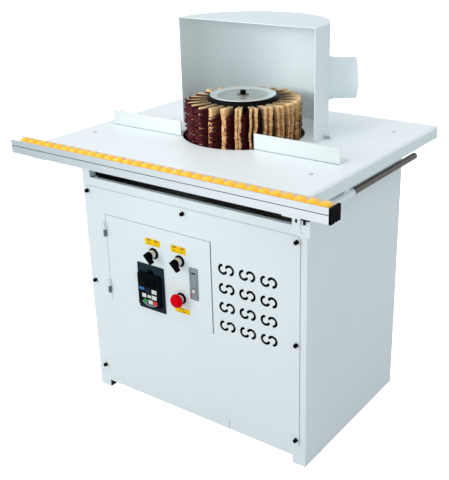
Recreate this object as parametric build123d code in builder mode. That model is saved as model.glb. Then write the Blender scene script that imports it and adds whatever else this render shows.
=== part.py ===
from build123d import *
import math
import os

# Vertical brush sanding machine: a brush drum turns in a round hole in a steel table, under a dust hood.
# Millimetres. X runs across the front, -Y faces the operator, Z is up from the floor.
# The origin is on the floor, under the middle of the whole machine.

# Clearances
running_clearance = 0.05
free_gap = 0.5
door_gap = 1.5
latch_gap = 4.0

# Sheet steel
sheet = 2.0

# Table
table_overhang = 55.0
table_depth = 746.0
table_height = 846.0
table_plate = 5.0
table_skirt = 38.0
table_edge_radius = 8.0
table_hole_diameter = 360.0

# Cabinet
cabinet_width = 790.0
cabinet_depth = 538.0
cabinet_setback = 85.5
post_width = 42.0
post_return = 25.0
foot_gap = 26.0
top_flange = 30.0
bottom_flange = 25.0
slot_margin = 31.0
slot_bottom = 724.0
slot_height = 76.0
cross_rail_height = 60.0
cross_rail_lip = 13.0
cross_rail_hem = 25.0

# Front panel
panel_margin_left = 7.0
panel_margin_right = 20.0
panel_above_foot = 34.5
panel_below_slot = 27.0
panel_corner_radius = 10.0
screw_margin_left = 13.5
screw_margin_low_left = 25.0
screw_margin_right = 9.0
screw_low = 83.0
screw_middle = 385.0
screw_high = 681.5
screw_hole_diameter = 6.2
vent_columns = 3
vent_rows = 4
vent_pitch_x = 70.0
vent_pitch_z = 58.2
vent_middle_x = 208.0
vent_middle_z = 459.0
vent_arc_radius = 12.6
vent_arc_offset_x = 11.2
vent_arc_offset_z = 0.5
vent_start_angle = 107.0
vent_sweep_angle = 221.0
vent_slot_width = 7.8

# Electrical door
door_width = 400.0
door_height = 285.0
door_middle_x = -112.0
door_middle_z = 475.5
door_return = 12.0
hinge_offset_z = 94.0
hinge_length = 44.0
hinge_barrel_diameter = 9.0
hinge_pin_diameter = 5.0
hinge_reach = 5.0
hinge_pad = 5.0
switch_hole_diameter = 22.0
switch_bezel_diameter = 35.0
switch_bezel_height = 3.0
switch_neck_diameter = 27.0
switch_neck_height = 9.0
switch_body_length = 45.0
switch_nut_diameter = 34.0
switch_nut_height = 6.0
stem_diameter = 10.0
stem_length = 20.0
selector_offset_x = 36.5
selector_spacing = 98.0
selector_offset_z = 57.5
knob_diameter = 28.0
knob_height = 12.0
lever_width = 11.0
lever_length = 32.0
lever_start = 8.0
lever_height = 8.0
lever_turn = -42.0
stop_offset_x = 85.0
stop_offset_z = -60.5
stop_head_diameter = 42.0
stop_head_height = 17.0
stop_travel = 5.0
drive_offset_x = -28.0
drive_offset_z = -56.5
drive_width = 102.5
drive_height = 148.0
drive_rim = 5.0
drive_bezel = 3.0
drive_unit_width = 84.0
drive_unit_height = 103.0
drive_unit_rise = 14.0
drive_unit_drop = 4.5
drive_depth = 75.0
latch_offset_x = 135.0
latch_offset_z = -2.0
latch_width = 29.0
latch_height = 99.0
latch_plate_height = 3.0
latch_rim = 2.0
latch_wall = 1.5
latch_body_depth = 16.0
latch_handle_length = 56.0
latch_handle_thickness = 6.0
latch_handle_recess = 8.0
latch_bar = 3.0
latch_pin_diameter = 3.0
lock_recess = 12.0
lock_travel = 4.0
lock_barrel_diameter = 14.0
lock_barrel_length = 16.0

# Spindle, motor and deck
deck_top = 690.0
deck_plate = 8.0
deck_setback = 60.0
deck_hole_diameter = 60.0
motor_diameter = 164.0
motor_length = 226.0
motor_flange_diameter = 200.0
motor_flange_height = 12.0
motor_cowl_diameter = 176.0
motor_cowl_height = 60.0
motor_seat_length = 30.0
motor_cavity_diameter = 96.0
rotor_gap = 2.0
rotor_length = 160.0
terminal_box_width = 100.0
terminal_box_height = 80.0
terminal_box_reach = 45.0
motor_shaft_diameter = 30.0
spindle_diameter = 38.0
spindle_collar_diameter = 52.0
spindle_collar_height = 10.0
bearing_base = 130.0
bearing_base_height = 14.0
bearing_boss_diameter = 90.0
bearing_height = 50.0

# Brush drum
brush_diameter = 343.0
brush_height = 150.0
brush_rise = 103.0
hub_diameter = 208.0
hub_below = 4.0
hub_above = 8.0
hub_web = 20.0
hub_wall = 19.0
hub_boss_diameter = 70.0
strip_count = 24
strip_turn = 1.5
groove_depth = 8.0
groove_cover = 2.0
backing_width = 14.0
backing_reach = 5.0
groove_clearance = 0.2
strand_count = 12
strand_rows = 2
strand_row_pitch = 8.0
strand_width = 5.5
strand_height = 10.5
cloth_thickness = 1.2
cloth_fingers = 8
cloth_slit = 1.5
cloth_slit_start = 14.0
clamp_diameter = 192.0
clamp_floor_diameter = 142.0
clamp_thickness = 2.5
clamp_rise = 4.0
clamp_rim = 4.0
clamp_bolt_diameter = 10.0
clamp_bolt_length = 30.0
clamp_head_diameter = 17.0
clamp_head_height = 11.5
clamp_washer_diameter = 34.0
clamp_washer_height = 2.5

# Dust hood
hood_radius = 237.0
hood_height = 319.0
hood_setback = 8.0
hood_straight = 15.0
spigot_diameter = 120.0
spigot_reach = 315.0
spigot_seat = 68.0
spigot_collar = 3.0
spigot_height = 153.0
spigot_direction = 37.0
tab_width = 24.0
tab_reach = 24.0
tab_thickness = 3.0
tab_angle = 11.0

# Fences
fence_height = 45.0
fence_depth = 50.0
fence_thickness = 3.0
fence_setback = 126.0
fence_left_outer = 402.0
fence_left_inner = 135.0
fence_right_inner = 124.0
fence_right_outer = 394.0
fence_hole_margin = 4.0

# Roller rail and its slide
rail_length = 1072.0
rail_depth = 45.0
rail_height = 40.0
rail_wall = 2.5
rail_floor = 3.0
rail_gap = 1.0
rail_rise = 1.0
rail_groove_drop = 17.5
rail_groove_width = 2.0
rail_groove_depth = 1.6
end_cap_thickness = 6.0
end_cap_notch_width = 6.0
end_cap_notch_height = 6.5
wheel_diameter = 31.0
wheel_width = 22.0
wheel_edge_radius = 5.0
wheel_pitch = 33.55
wheel_first = 37.0
wheel_last = 28.0
wheel_rise = 4.5
axle_diameter = 6.0
axle_reach = 7.5
rib_thickness = 3.0
rib_above = 5.0
rib_below = 6.0
rod_offset = 35.0
rod_drop = 63.0
rod_diameter = 20.0
rod_back = 257.0
sleeve_diameter = 24.0
sleeve_gap = 38.0
sleeve_back_right = 126.0
sleeve_back_left = 53.0
hanger_width = 8.0
hanger_length = 30.0
bracket_width = 50.0
bracket_plate = 3.0
bracket_below = 37.0
bracket_slit_width = 3.0
bracket_slit_rise = 5.0
bracket_slit_length = 34.5
bracket_slit_foot = 9.0
bracket_arm = 143.0
bracket_arm_below = 16.0

# Places worked out from the sizes above
spindle_y = (rail_gap + rail_depth) / 2
table_front_y = spindle_y - table_depth / 2
table_back_y = spindle_y + table_depth / 2
table_skirt_z = table_height - table_skirt
cabinet_top = table_height - table_plate
front_y = table_front_y + cabinet_setback
post_y = front_y + sheet
back_y = front_y + cabinet_depth
side_x = cabinet_width / 2
table_width = cabinet_width + 2 * table_overhang
slot_width = cabinet_width - 2 * slot_margin
panel_left = panel_margin_left - cabinet_width / 2
panel_right = cabinet_width / 2 - panel_margin_right
panel_middle_x = (panel_left + panel_right) / 2
panel_bottom = foot_gap + panel_above_foot
panel_top = slot_bottom - panel_below_slot
rod_x = side_x + rod_offset
rod_height = cabinet_top - rod_drop
slot_top = slot_bottom + slot_height
deck_bottom = deck_top - deck_plate
door_left = door_middle_x - door_width / 2
hinge_x = door_left - door_gap / 2
hinge_y = front_y - hinge_reach
brush_top = table_height + brush_rise
brush_bottom = brush_top - brush_height
hub_bottom = brush_bottom - hub_below
hub_top = brush_top + hub_above
hub_radius = hub_diameter / 2
groove_floor = hub_radius - groove_depth
backing_outer = hub_radius + backing_reach
clamp_floor_top = hub_top + clamp_thickness
hood_front_y = spindle_y + hood_setback
hood_arc_y = hood_front_y + hood_straight
rail_back_y = table_front_y - rail_gap
rail_front_y = rail_back_y - rail_depth
rail_middle_y = (rail_front_y + rail_back_y) / 2
rail_top = table_height + rail_rise
rail_bottom = rail_top - rail_height
rail_left = -rail_length / 2
rail_right = rail_length / 2
axle_z = rail_top + wheel_rise - wheel_diameter / 2

front_plane = Plane(origin=(0, front_y, 0), x_dir=(1, 0, 0), z_dir=(0, -1, 0))
spindle_plane = Plane(origin=(0, spindle_y, 0), x_dir=(1, 0, 0), z_dir=(0, -1, 0))
spindle_axis = Axis((0, spindle_y, 0), (0, 0, 1))


def slab(x_ends, y_ends, z_ends, mode=Mode.ADD):
    """Adds or cuts a block between pairs of ends in the open part."""
    low = [min(pair) for pair in (x_ends, y_ends, z_ends)]
    high = [max(pair) for pair in (x_ends, y_ends, z_ends)]
    middle = [(a + b) / 2 for a, b in zip(low, high)]
    with Locations(tuple(middle)):
        Box(*[b - a for a, b in zip(low, high)], mode=mode)


def turned(outline):
    """A solid turned about the spindle from a closed half outline of (radius, height) points."""
    with BuildPart() as solid:
        with BuildSketch(spindle_plane):
            with BuildLine():
                Polyline(*outline, close=True)
            make_face()
        revolve(axis=spindle_axis)
    return solid.part


def facing(x, z, y=front_y):
    """A plane on the front, its normal towards the operator."""
    return Plane(origin=(x, y, z), x_dir=(1, 0, 0), z_dir=(0, -1, 0))


def save(piece, name):
    """Labels a finished piece and writes its STEP file."""
    piece.label = name
    export_step(piece, f"parts/{name}.step")


os.makedirs("parts", exist_ok=True)

# Table: a folded tray with a round hole for the brush
with BuildPart() as table_top:
    slab((-table_width / 2, table_width / 2), (table_front_y, table_back_y), (table_skirt_z, table_height))
    fillet(table_top.faces().sort_by(Axis.Z)[-1].edges(), radius=table_edge_radius)
    slab(
        (-table_width / 2 + table_plate, table_width / 2 - table_plate),
        (table_front_y + table_plate, table_back_y - table_plate),
        (table_skirt_z, cabinet_top),
        mode=Mode.SUBTRACT,
    )
    with Locations((0, spindle_y, cabinet_top)):
        Cylinder(table_hole_diameter / 2, 2 * table_plate, mode=Mode.SUBTRACT)
save(table_top.part, "table_top")

# Cabinet: folded sides, back, corner posts, flanges and the ledges that carry the motor deck
screw_left = panel_left + screw_margin_left
screw_places = [(screw_left, screw_middle), (screw_left, screw_high), (panel_middle_x, screw_high)]
screw_places.append((panel_left + screw_margin_low_left, screw_low))
for height in (screw_low, screw_middle, screw_high):
    screw_places.append((panel_right - screw_margin_right, height))
post_inner = side_x - post_width
cross_rails = ((slot_bottom - cross_rail_height, slot_bottom), (foot_gap, foot_gap + cross_rail_height))
with BuildPart() as cabinet_body:
    for side in (-1, 1):
        outer = side * side_x
        slab((outer, side * (side_x - sheet)), (post_y, back_y), (0, cabinet_top))
        slab((outer, side * post_inner), (post_y, post_y + sheet), (0, slot_bottom))
        slab(
            (side * post_inner, side * (post_inner + sheet)),
            (post_y, post_y + post_return),
            (0, slot_bottom),
        )
        slab((outer, side * slot_width / 2), (post_y, post_y + sheet), (slot_bottom - sheet, cabinet_top))
        slab(
            (side * slot_width / 2, side * (slot_width / 2 + sheet)),
            (post_y, post_y + post_return),
            (slot_bottom - sheet, cabinet_top),
        )
        slab((outer, side * (side_x - top_flange)), (post_y, back_y), (cabinet_top - sheet, cabinet_top))
        slab((outer, side * (side_x - bottom_flange)), (post_y, back_y), (0, sheet))
        slab(
            (outer, side * (side_x - top_flange)),
            (post_y + deck_setback, back_y),
            (deck_bottom - sheet, deck_bottom),
        )
    slab((-side_x, side_x), (back_y - sheet, back_y), (foot_gap, cabinet_top))
    slab((-side_x, side_x), (back_y - top_flange, back_y), (cabinet_top - sheet, cabinet_top))
    slab((-slot_width / 2, slot_width / 2), (post_y, post_y + sheet), (slot_top, cabinet_top))
    for rail_ends in cross_rails:
        slab((-post_inner, post_inner), (post_y, post_y + sheet), rail_ends)
    slab((-post_inner, post_inner), (post_y, post_y + cross_rail_lip), (slot_bottom - sheet, slot_bottom))
    slab((-post_inner, post_inner), (post_y, post_y + cross_rail_hem), (foot_gap, foot_gap + sheet))
    with BuildSketch(facing(0, 0, post_y)):
        with Locations(*screw_places):
            Circle(screw_hole_diameter / 2)
    extrude(amount=-sheet, mode=Mode.SUBTRACT)
save(cabinet_body.part, "cabinet_body")

# Front panel: a flat sheet screwed to the posts and cross rails, with the door opening and the curved vents
vent_arc_middle = (-vent_arc_offset_x, -vent_arc_offset_z)
with BuildPart() as front_panel:
    with BuildSketch(front_plane):
        with Locations((panel_middle_x, (panel_bottom + panel_top) / 2)):
            RectangleRounded(panel_right - panel_left, panel_top - panel_bottom, panel_corner_radius)
        with Locations((door_middle_x, door_middle_z)):
            Rectangle(door_width, door_height, mode=Mode.SUBTRACT)
        with Locations(*screw_places):
            Circle(screw_hole_diameter / 2, mode=Mode.SUBTRACT)
    extrude(amount=-sheet)
    with BuildSketch(front_plane):
        with Locations((vent_middle_x, vent_middle_z)):
            with GridLocations(vent_pitch_x, vent_pitch_z, vent_columns, vent_rows):
                for half_turn in (0, 180):
                    with Locations(Location((0, 0, 0), (0, 0, half_turn))):
                        with BuildLine(mode=Mode.PRIVATE) as vent_curve:
                            CenterArc(vent_arc_middle, vent_arc_radius, vent_start_angle, vent_sweep_angle)
                        SlotArc(vent_curve.edges()[0], vent_slot_width)
    extrude(amount=-sheet, mode=Mode.SUBTRACT)
save(front_panel.part, "front_panel")

# Hinge halves on the panel, each with its pin
hinge_heights = [door_middle_z + side * hinge_offset_z for side in (-1, 1)]
hinge_bore = hinge_pin_diameter / 2 + running_clearance
with BuildPart() as hinge_pins:
    for height in hinge_heights:
        low = height - hinge_length / 2
        with Locations((hinge_x, hinge_y, low + hinge_length / 4)):
            Cylinder(hinge_barrel_diameter / 2, hinge_length / 2)
        with Locations((hinge_x, hinge_y, height)):
            Cylinder(hinge_pin_diameter / 2, hinge_length)
        slab((hinge_x - hinge_pad, hinge_x), (hinge_y, front_y), (low, height))
save(hinge_pins.part, "hinge_pins")

# Electrical door: an inset panel with turned-in edges and the upper hinge halves
door_x_ends = (door_left + door_gap, door_left + door_width - latch_gap)
door_z_ends = (door_middle_z - door_height / 2 + door_gap, door_middle_z + door_height / 2 - door_gap)
selector_places = [
    (door_middle_x + selector_offset_x + side * selector_spacing / 2, door_middle_z + selector_offset_z)
    for side in (-1, 1)
]
stop_place = (door_middle_x + stop_offset_x, door_middle_z + stop_offset_z)
drive_place = (door_middle_x + drive_offset_x, door_middle_z + drive_offset_z)
latch_place = (door_middle_x + latch_offset_x, door_middle_z + latch_offset_z)
with BuildPart() as electrical_door:
    slab(door_x_ends, (front_y, front_y + sheet + door_return), door_z_ends)
    slab(
        (door_x_ends[0] + sheet, door_x_ends[1] - sheet),
        (front_y + sheet, front_y + sheet + door_return),
        (door_z_ends[0] + sheet, door_z_ends[1] - sheet),
        mode=Mode.SUBTRACT,
    )
    with BuildSketch(front_plane):
        with Locations(*selector_places, stop_place):
            Circle(switch_hole_diameter / 2)
        with Locations(drive_place):
            Rectangle(drive_width - 2 * drive_rim, drive_height - 2 * drive_rim)
        with Locations(latch_place):
            Rectangle(latch_width - 2 * latch_rim, latch_height - 2 * latch_rim)
    extrude(amount=-sheet, mode=Mode.SUBTRACT)
    for height in hinge_heights:
        foot = height + free_gap
        top = height + hinge_length / 2
        with Locations((hinge_x, hinge_y, (foot + top) / 2)):
            Cylinder(hinge_barrel_diameter / 2, top - foot)
        slab((door_x_ends[0], hinge_x + hinge_pad), (hinge_y, front_y), (foot, top))
        with Locations((hinge_x, hinge_y, height)):
            Cylinder(hinge_bore, hinge_length + 2 * free_gap, mode=Mode.SUBTRACT)
save(electrical_door.part, "electrical_door")

# Switch bodies: bezel, neck, threaded body and nut, with a bore for the knob's stem
switch_front_y = front_y - switch_bezel_height - switch_neck_height
with BuildPart() as switch_bezels:
    with BuildSketch(front_plane):
        with Locations(*selector_places, stop_place):
            Circle(switch_bezel_diameter / 2)
    extrude(amount=switch_bezel_height)
    with BuildSketch(facing(0, 0, front_y - switch_bezel_height)):
        with Locations(*selector_places, stop_place):
            Circle(switch_neck_diameter / 2)
    extrude(amount=switch_neck_height)
    with BuildSketch(front_plane):
        with Locations(*selector_places, stop_place):
            Circle(switch_hole_diameter / 2)
    extrude(amount=-switch_body_length)
    with BuildSketch(facing(0, 0, front_y + sheet)):
        with Locations(*selector_places, stop_place):
            Circle(switch_nut_diameter / 2)
    extrude(amount=-switch_nut_height)
    with BuildSketch(facing(0, 0, switch_front_y)):
        with Locations(*selector_places, stop_place):
            Circle(stem_diameter / 2 + running_clearance)
    extrude(amount=-(stem_length + stop_travel + free_gap), mode=Mode.SUBTRACT)
save(switch_bezels.part, "switch_bezels")


# Selector knobs: a round base with a lever across it that points down and to the right
lever_offset = lever_length / 2 - lever_start


def selector_knob(place):
    """A knob and its stem, turned about the switch's own axis."""
    base_y = switch_front_y - free_gap
    with BuildPart() as knob:
        with BuildSketch(facing(*place, y=base_y)):
            Circle(knob_diameter / 2)
        extrude(amount=knob_height)
        with BuildSketch(facing(*place, y=base_y - knob_height)):
            with Locations(Location((0, 0, 0), (0, 0, lever_turn))):
                with Locations((lever_offset, 0)):
                    SlotOverall(lever_length, lever_width)
        extrude(amount=lever_height)
        with BuildSketch(facing(*place, y=base_y)):
            Circle(stem_diameter / 2)
        extrude(amount=-stem_length)
    return knob.part


save(selector_knob(selector_places[0]), "selector_knob_left")
save(selector_knob(selector_places[1]), "selector_knob_right")

# Emergency stop: a mushroom head whose stem slides in its switch body
stop_base_y = switch_front_y - stop_travel - free_gap
with BuildPart() as estop_button:
    with BuildSketch(facing(*stop_place, y=stop_base_y)):
        Circle(stop_head_diameter / 2)
    extrude(amount=stop_head_height)
    fillet(estop_button.edges().sort_by(Axis.Y)[0], radius=stop_head_height / 2)
    with BuildSketch(facing(*stop_place, y=stop_base_y)):
        Circle(stem_diameter / 2)
    extrude(amount=-stem_length)
save(estop_button.part, "estop_button")

# Inverter drive: a rim on the door, a raised key unit in front and the housing behind
with BuildPart() as inverter_drive:
    with BuildSketch(front_plane):
        with Locations(drive_place):
            Rectangle(drive_width, drive_height)
    extrude(amount=drive_bezel)
    with BuildSketch(facing(0, 0, front_y - drive_bezel)):
        with Locations((drive_place[0], drive_place[1] - drive_unit_drop)):
            Rectangle(drive_unit_width, drive_unit_height)
    extrude(amount=drive_unit_rise)
    with BuildSketch(front_plane):
        with Locations(drive_place):
            Rectangle(drive_width - 2 * drive_rim, drive_height - 2 * drive_rim)
    extrude(amount=-drive_depth)
save(inverter_drive.part, "inverter_drive")

# Latch plate: a rim on the door and a sunk body with a tray for the handle and one for the lock button
latch_front_y = front_y - latch_plate_height
latch_body_width = latch_width - 2 * latch_rim - 2 * free_gap
latch_body_height = latch_height - 2 * latch_rim - 2 * free_gap
latch_inner_x = latch_body_width / 2 - latch_wall
latch_inner_top = latch_place[1] + latch_body_height / 2 - latch_wall
latch_inner_bottom = latch_place[1] - latch_body_height / 2 + latch_wall
handle_foot = latch_inner_top - latch_handle_length
lock_top = handle_foot - latch_bar
lock_place = (latch_place[0], (lock_top + latch_inner_bottom) / 2)
latch_pin_y = latch_front_y + latch_handle_thickness / 2
latch_pin_z = latch_inner_top - free_gap - latch_handle_thickness / 2
latch_x_ends = (latch_place[0] - latch_inner_x, latch_place[0] + latch_inner_x)
with BuildPart() as latch_plate:
    with BuildSketch(front_plane):
        with Locations(latch_place):
            RectangleRounded(latch_width, latch_height, latch_rim)
    extrude(amount=latch_plate_height)
    with BuildSketch(front_plane):
        with Locations(latch_place):
            Rectangle(latch_body_width, latch_body_height)
    extrude(amount=-latch_body_depth)
    slab(
        latch_x_ends,
        (latch_front_y, latch_front_y + latch_handle_recess),
        (handle_foot, latch_inner_top),
        mode=Mode.SUBTRACT,
    )
    slab(
        latch_x_ends,
        (latch_front_y, latch_front_y + lock_recess),
        (latch_inner_bottom, lock_top),
        mode=Mode.SUBTRACT,
    )
    with BuildSketch(facing(*lock_place, y=latch_front_y)):
        Circle(lock_barrel_diameter / 2 + running_clearance)
    extrude(amount=-(latch_plate_height + latch_body_depth), mode=Mode.SUBTRACT)
    with Locations(Location((latch_place[0], latch_pin_y, latch_pin_z), (0, 90, 0))):
        Cylinder(latch_pin_diameter / 2, latch_body_width)
save(latch_plate.part, "latch_plate")

# Latch handle: lies in its tray and swings out about the pin at its top
handle_x_ends = (latch_x_ends[0] + free_gap, latch_x_ends[1] - free_gap)
with BuildPart() as latch_handle:
    slab(
        handle_x_ends,
        (latch_front_y, latch_front_y + latch_handle_thickness),
        (handle_foot + free_gap, latch_pin_z),
    )
    with Locations(Location((latch_place[0], latch_pin_y, latch_pin_z), (0, 90, 0))):
        Cylinder(latch_handle_thickness / 2, handle_x_ends[1] - handle_x_ends[0])
        Cylinder(latch_pin_diameter / 2 + running_clearance, latch_width, mode=Mode.SUBTRACT)
save(latch_handle.part, "latch_handle")

# Lock button: pressed in to free the handle, guided by the lock barrel behind it
lock_block = lock_recess - lock_travel - free_gap
with BuildPart() as lock_button:
    slab(
        handle_x_ends,
        (latch_front_y, latch_front_y + lock_block),
        (latch_inner_bottom + free_gap, lock_top - free_gap),
    )
    with BuildSketch(facing(*lock_place, y=latch_front_y + lock_block)):
        Circle(lock_barrel_diameter / 2)
    extrude(amount=-lock_barrel_length)
save(lock_button.part, "lock_button")

# Motor deck: a thick plate on the cabinet's ledges
deck_front_y = post_y + deck_setback
with BuildPart() as motor_deck:
    slab(
        (-side_x + sheet + free_gap, side_x - sheet - free_gap),
        (deck_front_y, back_y - sheet - free_gap),
        (deck_bottom, deck_top),
    )
    with Locations((0, spindle_y, deck_bottom)):
        Cylinder(deck_hole_diameter / 2, 4 * deck_plate, mode=Mode.SUBTRACT)
save(motor_deck.part, "motor_deck")

# Drive motor: hangs from the deck by its flange, hollow for the rotor
motor_top = deck_bottom
motor_flange_z = motor_top - motor_flange_height
motor_cowl_z = motor_flange_z - motor_length
motor_foot = motor_cowl_z - motor_cowl_height
motor_seat_radius = motor_shaft_diameter / 2 + running_clearance
lower_seat = motor_cowl_z - motor_seat_length
cavity_low = motor_cowl_z
cavity_high = motor_flange_z - motor_seat_length
with BuildPart() as drive_motor:
    add(
        turned([
            (0, motor_foot),
            (motor_cowl_diameter / 2, motor_foot),
            (motor_cowl_diameter / 2, motor_cowl_z),
            (motor_diameter / 2, motor_cowl_z),
            (motor_diameter / 2, motor_flange_z),
            (motor_flange_diameter / 2, motor_flange_z),
            (motor_flange_diameter / 2, motor_top),
            (0, motor_top),
        ])
    )
    box_middle = (motor_cowl_z + motor_flange_z) / 2
    slab(
        (motor_diameter / 4, motor_diameter / 2 + terminal_box_reach),
        (spindle_y - terminal_box_width / 2, spindle_y + terminal_box_width / 2),
        (box_middle - terminal_box_height / 2, box_middle + terminal_box_height / 2),
    )
    add(
        turned([
            (0, lower_seat),
            (motor_seat_radius, lower_seat),
            (motor_seat_radius, cavity_low),
            (motor_cavity_diameter / 2, cavity_low),
            (motor_cavity_diameter / 2, cavity_high),
            (motor_seat_radius, cavity_high),
            (motor_seat_radius, motor_top),
            (0, motor_top),
        ]),
        mode=Mode.SUBTRACT,
    )
save(drive_motor.part, "drive_motor")

# Spindle bearing: a flanged unit on the deck round the shaft
spindle_radius = spindle_diameter / 2
with BuildPart() as spindle_bearing:
    with Locations((0, spindle_y, deck_top + bearing_base_height / 2)):
        Box(bearing_base, bearing_base, bearing_base_height)
    with Locations((0, spindle_y, deck_top + bearing_height / 2)):
        Cylinder(bearing_boss_diameter / 2, bearing_height)
        Cylinder(spindle_radius + running_clearance, 2 * bearing_height, mode=Mode.SUBTRACT)
save(spindle_bearing.part, "spindle_bearing")

# Motor shaft: rotor below, spindle and hub seat above, tapped at the top
rotor_radius = motor_cavity_diameter / 2 - rotor_gap
rotor_middle = (cavity_low + cavity_high) / 2
collar_bottom = hub_bottom - spindle_collar_height
shaft_step = deck_top - deck_plate / 2
shaft_top = hub_top - hub_above / 2
bolt_radius = clamp_bolt_diameter / 2
bolt_end = clamp_floor_top - clamp_bolt_length
motor_shaft = turned([
    (0, lower_seat + free_gap),
    (motor_shaft_diameter / 2, lower_seat + free_gap),
    (motor_shaft_diameter / 2, rotor_middle - rotor_length / 2),
    (rotor_radius, rotor_middle - rotor_length / 2),
    (rotor_radius, rotor_middle + rotor_length / 2),
    (motor_shaft_diameter / 2, rotor_middle + rotor_length / 2),
    (motor_shaft_diameter / 2, shaft_step),
    (spindle_radius, shaft_step),
    (spindle_radius, collar_bottom),
    (spindle_collar_diameter / 2, collar_bottom),
    (spindle_collar_diameter / 2, hub_bottom),
    (spindle_radius, hub_bottom),
    (spindle_radius, shaft_top),
    (bolt_radius, shaft_top),
    (bolt_radius, bolt_end - free_gap),
    (0, bolt_end - free_gap),
])
save(motor_shaft, "motor_shaft")

# Brush hub: a hollow black drum with grooves for the strips, closed by its top flange
groove_side = backing_width / 2 + groove_clearance
hub_bore = spindle_radius + running_clearance
with BuildPart() as brush_hub:
    add(
        turned([
            (hub_bore, hub_bottom),
            (hub_boss_diameter / 2, hub_bottom),
            (hub_boss_diameter / 2, hub_top - hub_web),
            (hub_radius - hub_wall, hub_top - hub_web),
            (hub_radius - hub_wall, hub_bottom),
            (hub_radius, hub_bottom),
            (hub_radius, hub_top),
            (hub_bore, hub_top),
        ])
    )
    with BuildSketch(Plane.XY.offset(hub_bottom)):
        with Locations((0, spindle_y)):
            with PolarLocations(0, strip_count, start_angle=strip_turn):
                with Locations(((groove_floor + hub_radius + groove_depth) / 2, cloth_thickness / 2)):
                    Rectangle(2 * groove_depth, 2 * groove_side + cloth_thickness)
    extrude(amount=brush_top + groove_cover - hub_bottom, mode=Mode.SUBTRACT)
save(brush_hub.part, "brush_hub")

# Bristles: one strip with two rows of strands fused to its backing bar, repeated round the hub
brush_radius = brush_diameter / 2
brush_middle_z = (brush_top + brush_bottom) / 2
strand_pitch = brush_height / strand_count
with BuildPart() as bristle_strip:
    slab((groove_floor, backing_outer), (-backing_width / 2, backing_width / 2), (brush_bottom, brush_top))
    with BuildSketch(Plane(origin=(backing_outer, 0, brush_middle_z), x_dir=(0, 1, 0), z_dir=(1, 0, 0))):
        with GridLocations(strand_row_pitch, strand_pitch, strand_rows, strand_count):
            Rectangle(strand_width, strand_height)
    extrude(amount=brush_radius - backing_outer)
with BuildPart() as brush_bristles:
    with Locations((0, spindle_y, 0)):
        with PolarLocations(0, strip_count, start_angle=strip_turn):
            add(bristle_strip.part)
save(brush_bristles.part, "brush_bristles")

# Abrasive cloth: a slashed sheet beside each bristle strip, in the same groove
cloth_y = backing_width / 2
finger_pitch = brush_height / cloth_fingers
with BuildPart() as cloth_strip:
    slab((groove_floor, brush_radius), (cloth_y, cloth_y + cloth_thickness), (brush_bottom, brush_top))
    slit_length = brush_radius - hub_radius - cloth_slit_start
    with Locations((brush_radius - slit_length / 2, cloth_y, brush_middle_z)):
        for finger in range(1, cloth_fingers):
            with Locations((0, 0, finger * finger_pitch - brush_height / 2)):
                Box(slit_length, 4 * cloth_thickness, cloth_slit, mode=Mode.SUBTRACT)
with BuildPart() as abrasive_strips:
    with Locations((0, spindle_y, 0)):
        with PolarLocations(0, strip_count, start_angle=strip_turn):
            add(cloth_strip.part)
save(abrasive_strips.part, "abrasive_strips")

# Clamp flange: a dished steel plate on top of the hub
clamp_radius = clamp_diameter / 2
clamp_floor_radius = clamp_floor_diameter / 2
clamp_rim_radius = clamp_radius - clamp_rim
clamp_hole_radius = bolt_radius + free_gap
clamp_flange = turned([
    (clamp_hole_radius, hub_top),
    (clamp_floor_radius, hub_top),
    (clamp_rim_radius, hub_top + clamp_rise),
    (clamp_radius, hub_top + clamp_rise),
    (clamp_radius, clamp_floor_top + clamp_rise),
    (clamp_rim_radius, clamp_floor_top + clamp_rise),
    (clamp_floor_radius, clamp_floor_top),
    (clamp_hole_radius, clamp_floor_top),
])
save(clamp_flange, "clamp_flange")

# Clamp bolt: a black cap screw with its washer, down into the shaft
washer_top = clamp_floor_top + clamp_washer_height
clamp_bolt = turned([
    (0, bolt_end),
    (bolt_radius - running_clearance, bolt_end),
    (bolt_radius - running_clearance, clamp_floor_top),
    (clamp_washer_diameter / 2, clamp_floor_top),
    (clamp_washer_diameter / 2, washer_top),
    (clamp_head_diameter / 2, washer_top),
    (clamp_head_diameter / 2, washer_top + clamp_head_height),
    (0, washer_top + clamp_head_height),
])
save(clamp_bolt, "clamp_bolt")


# Dust hood: a half round shell open to the front and below, with a hose spigot at the back right
def hood_outline(radius, front):
    """Closed half round plan with short straight sides, drawn into the open sketch's line."""
    Polyline((-radius, hood_arc_y), (-radius, front), (radius, front), (radius, hood_arc_y))
    ThreePointArc((radius, hood_arc_y), (0, hood_arc_y + radius), (-radius, hood_arc_y))


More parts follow.
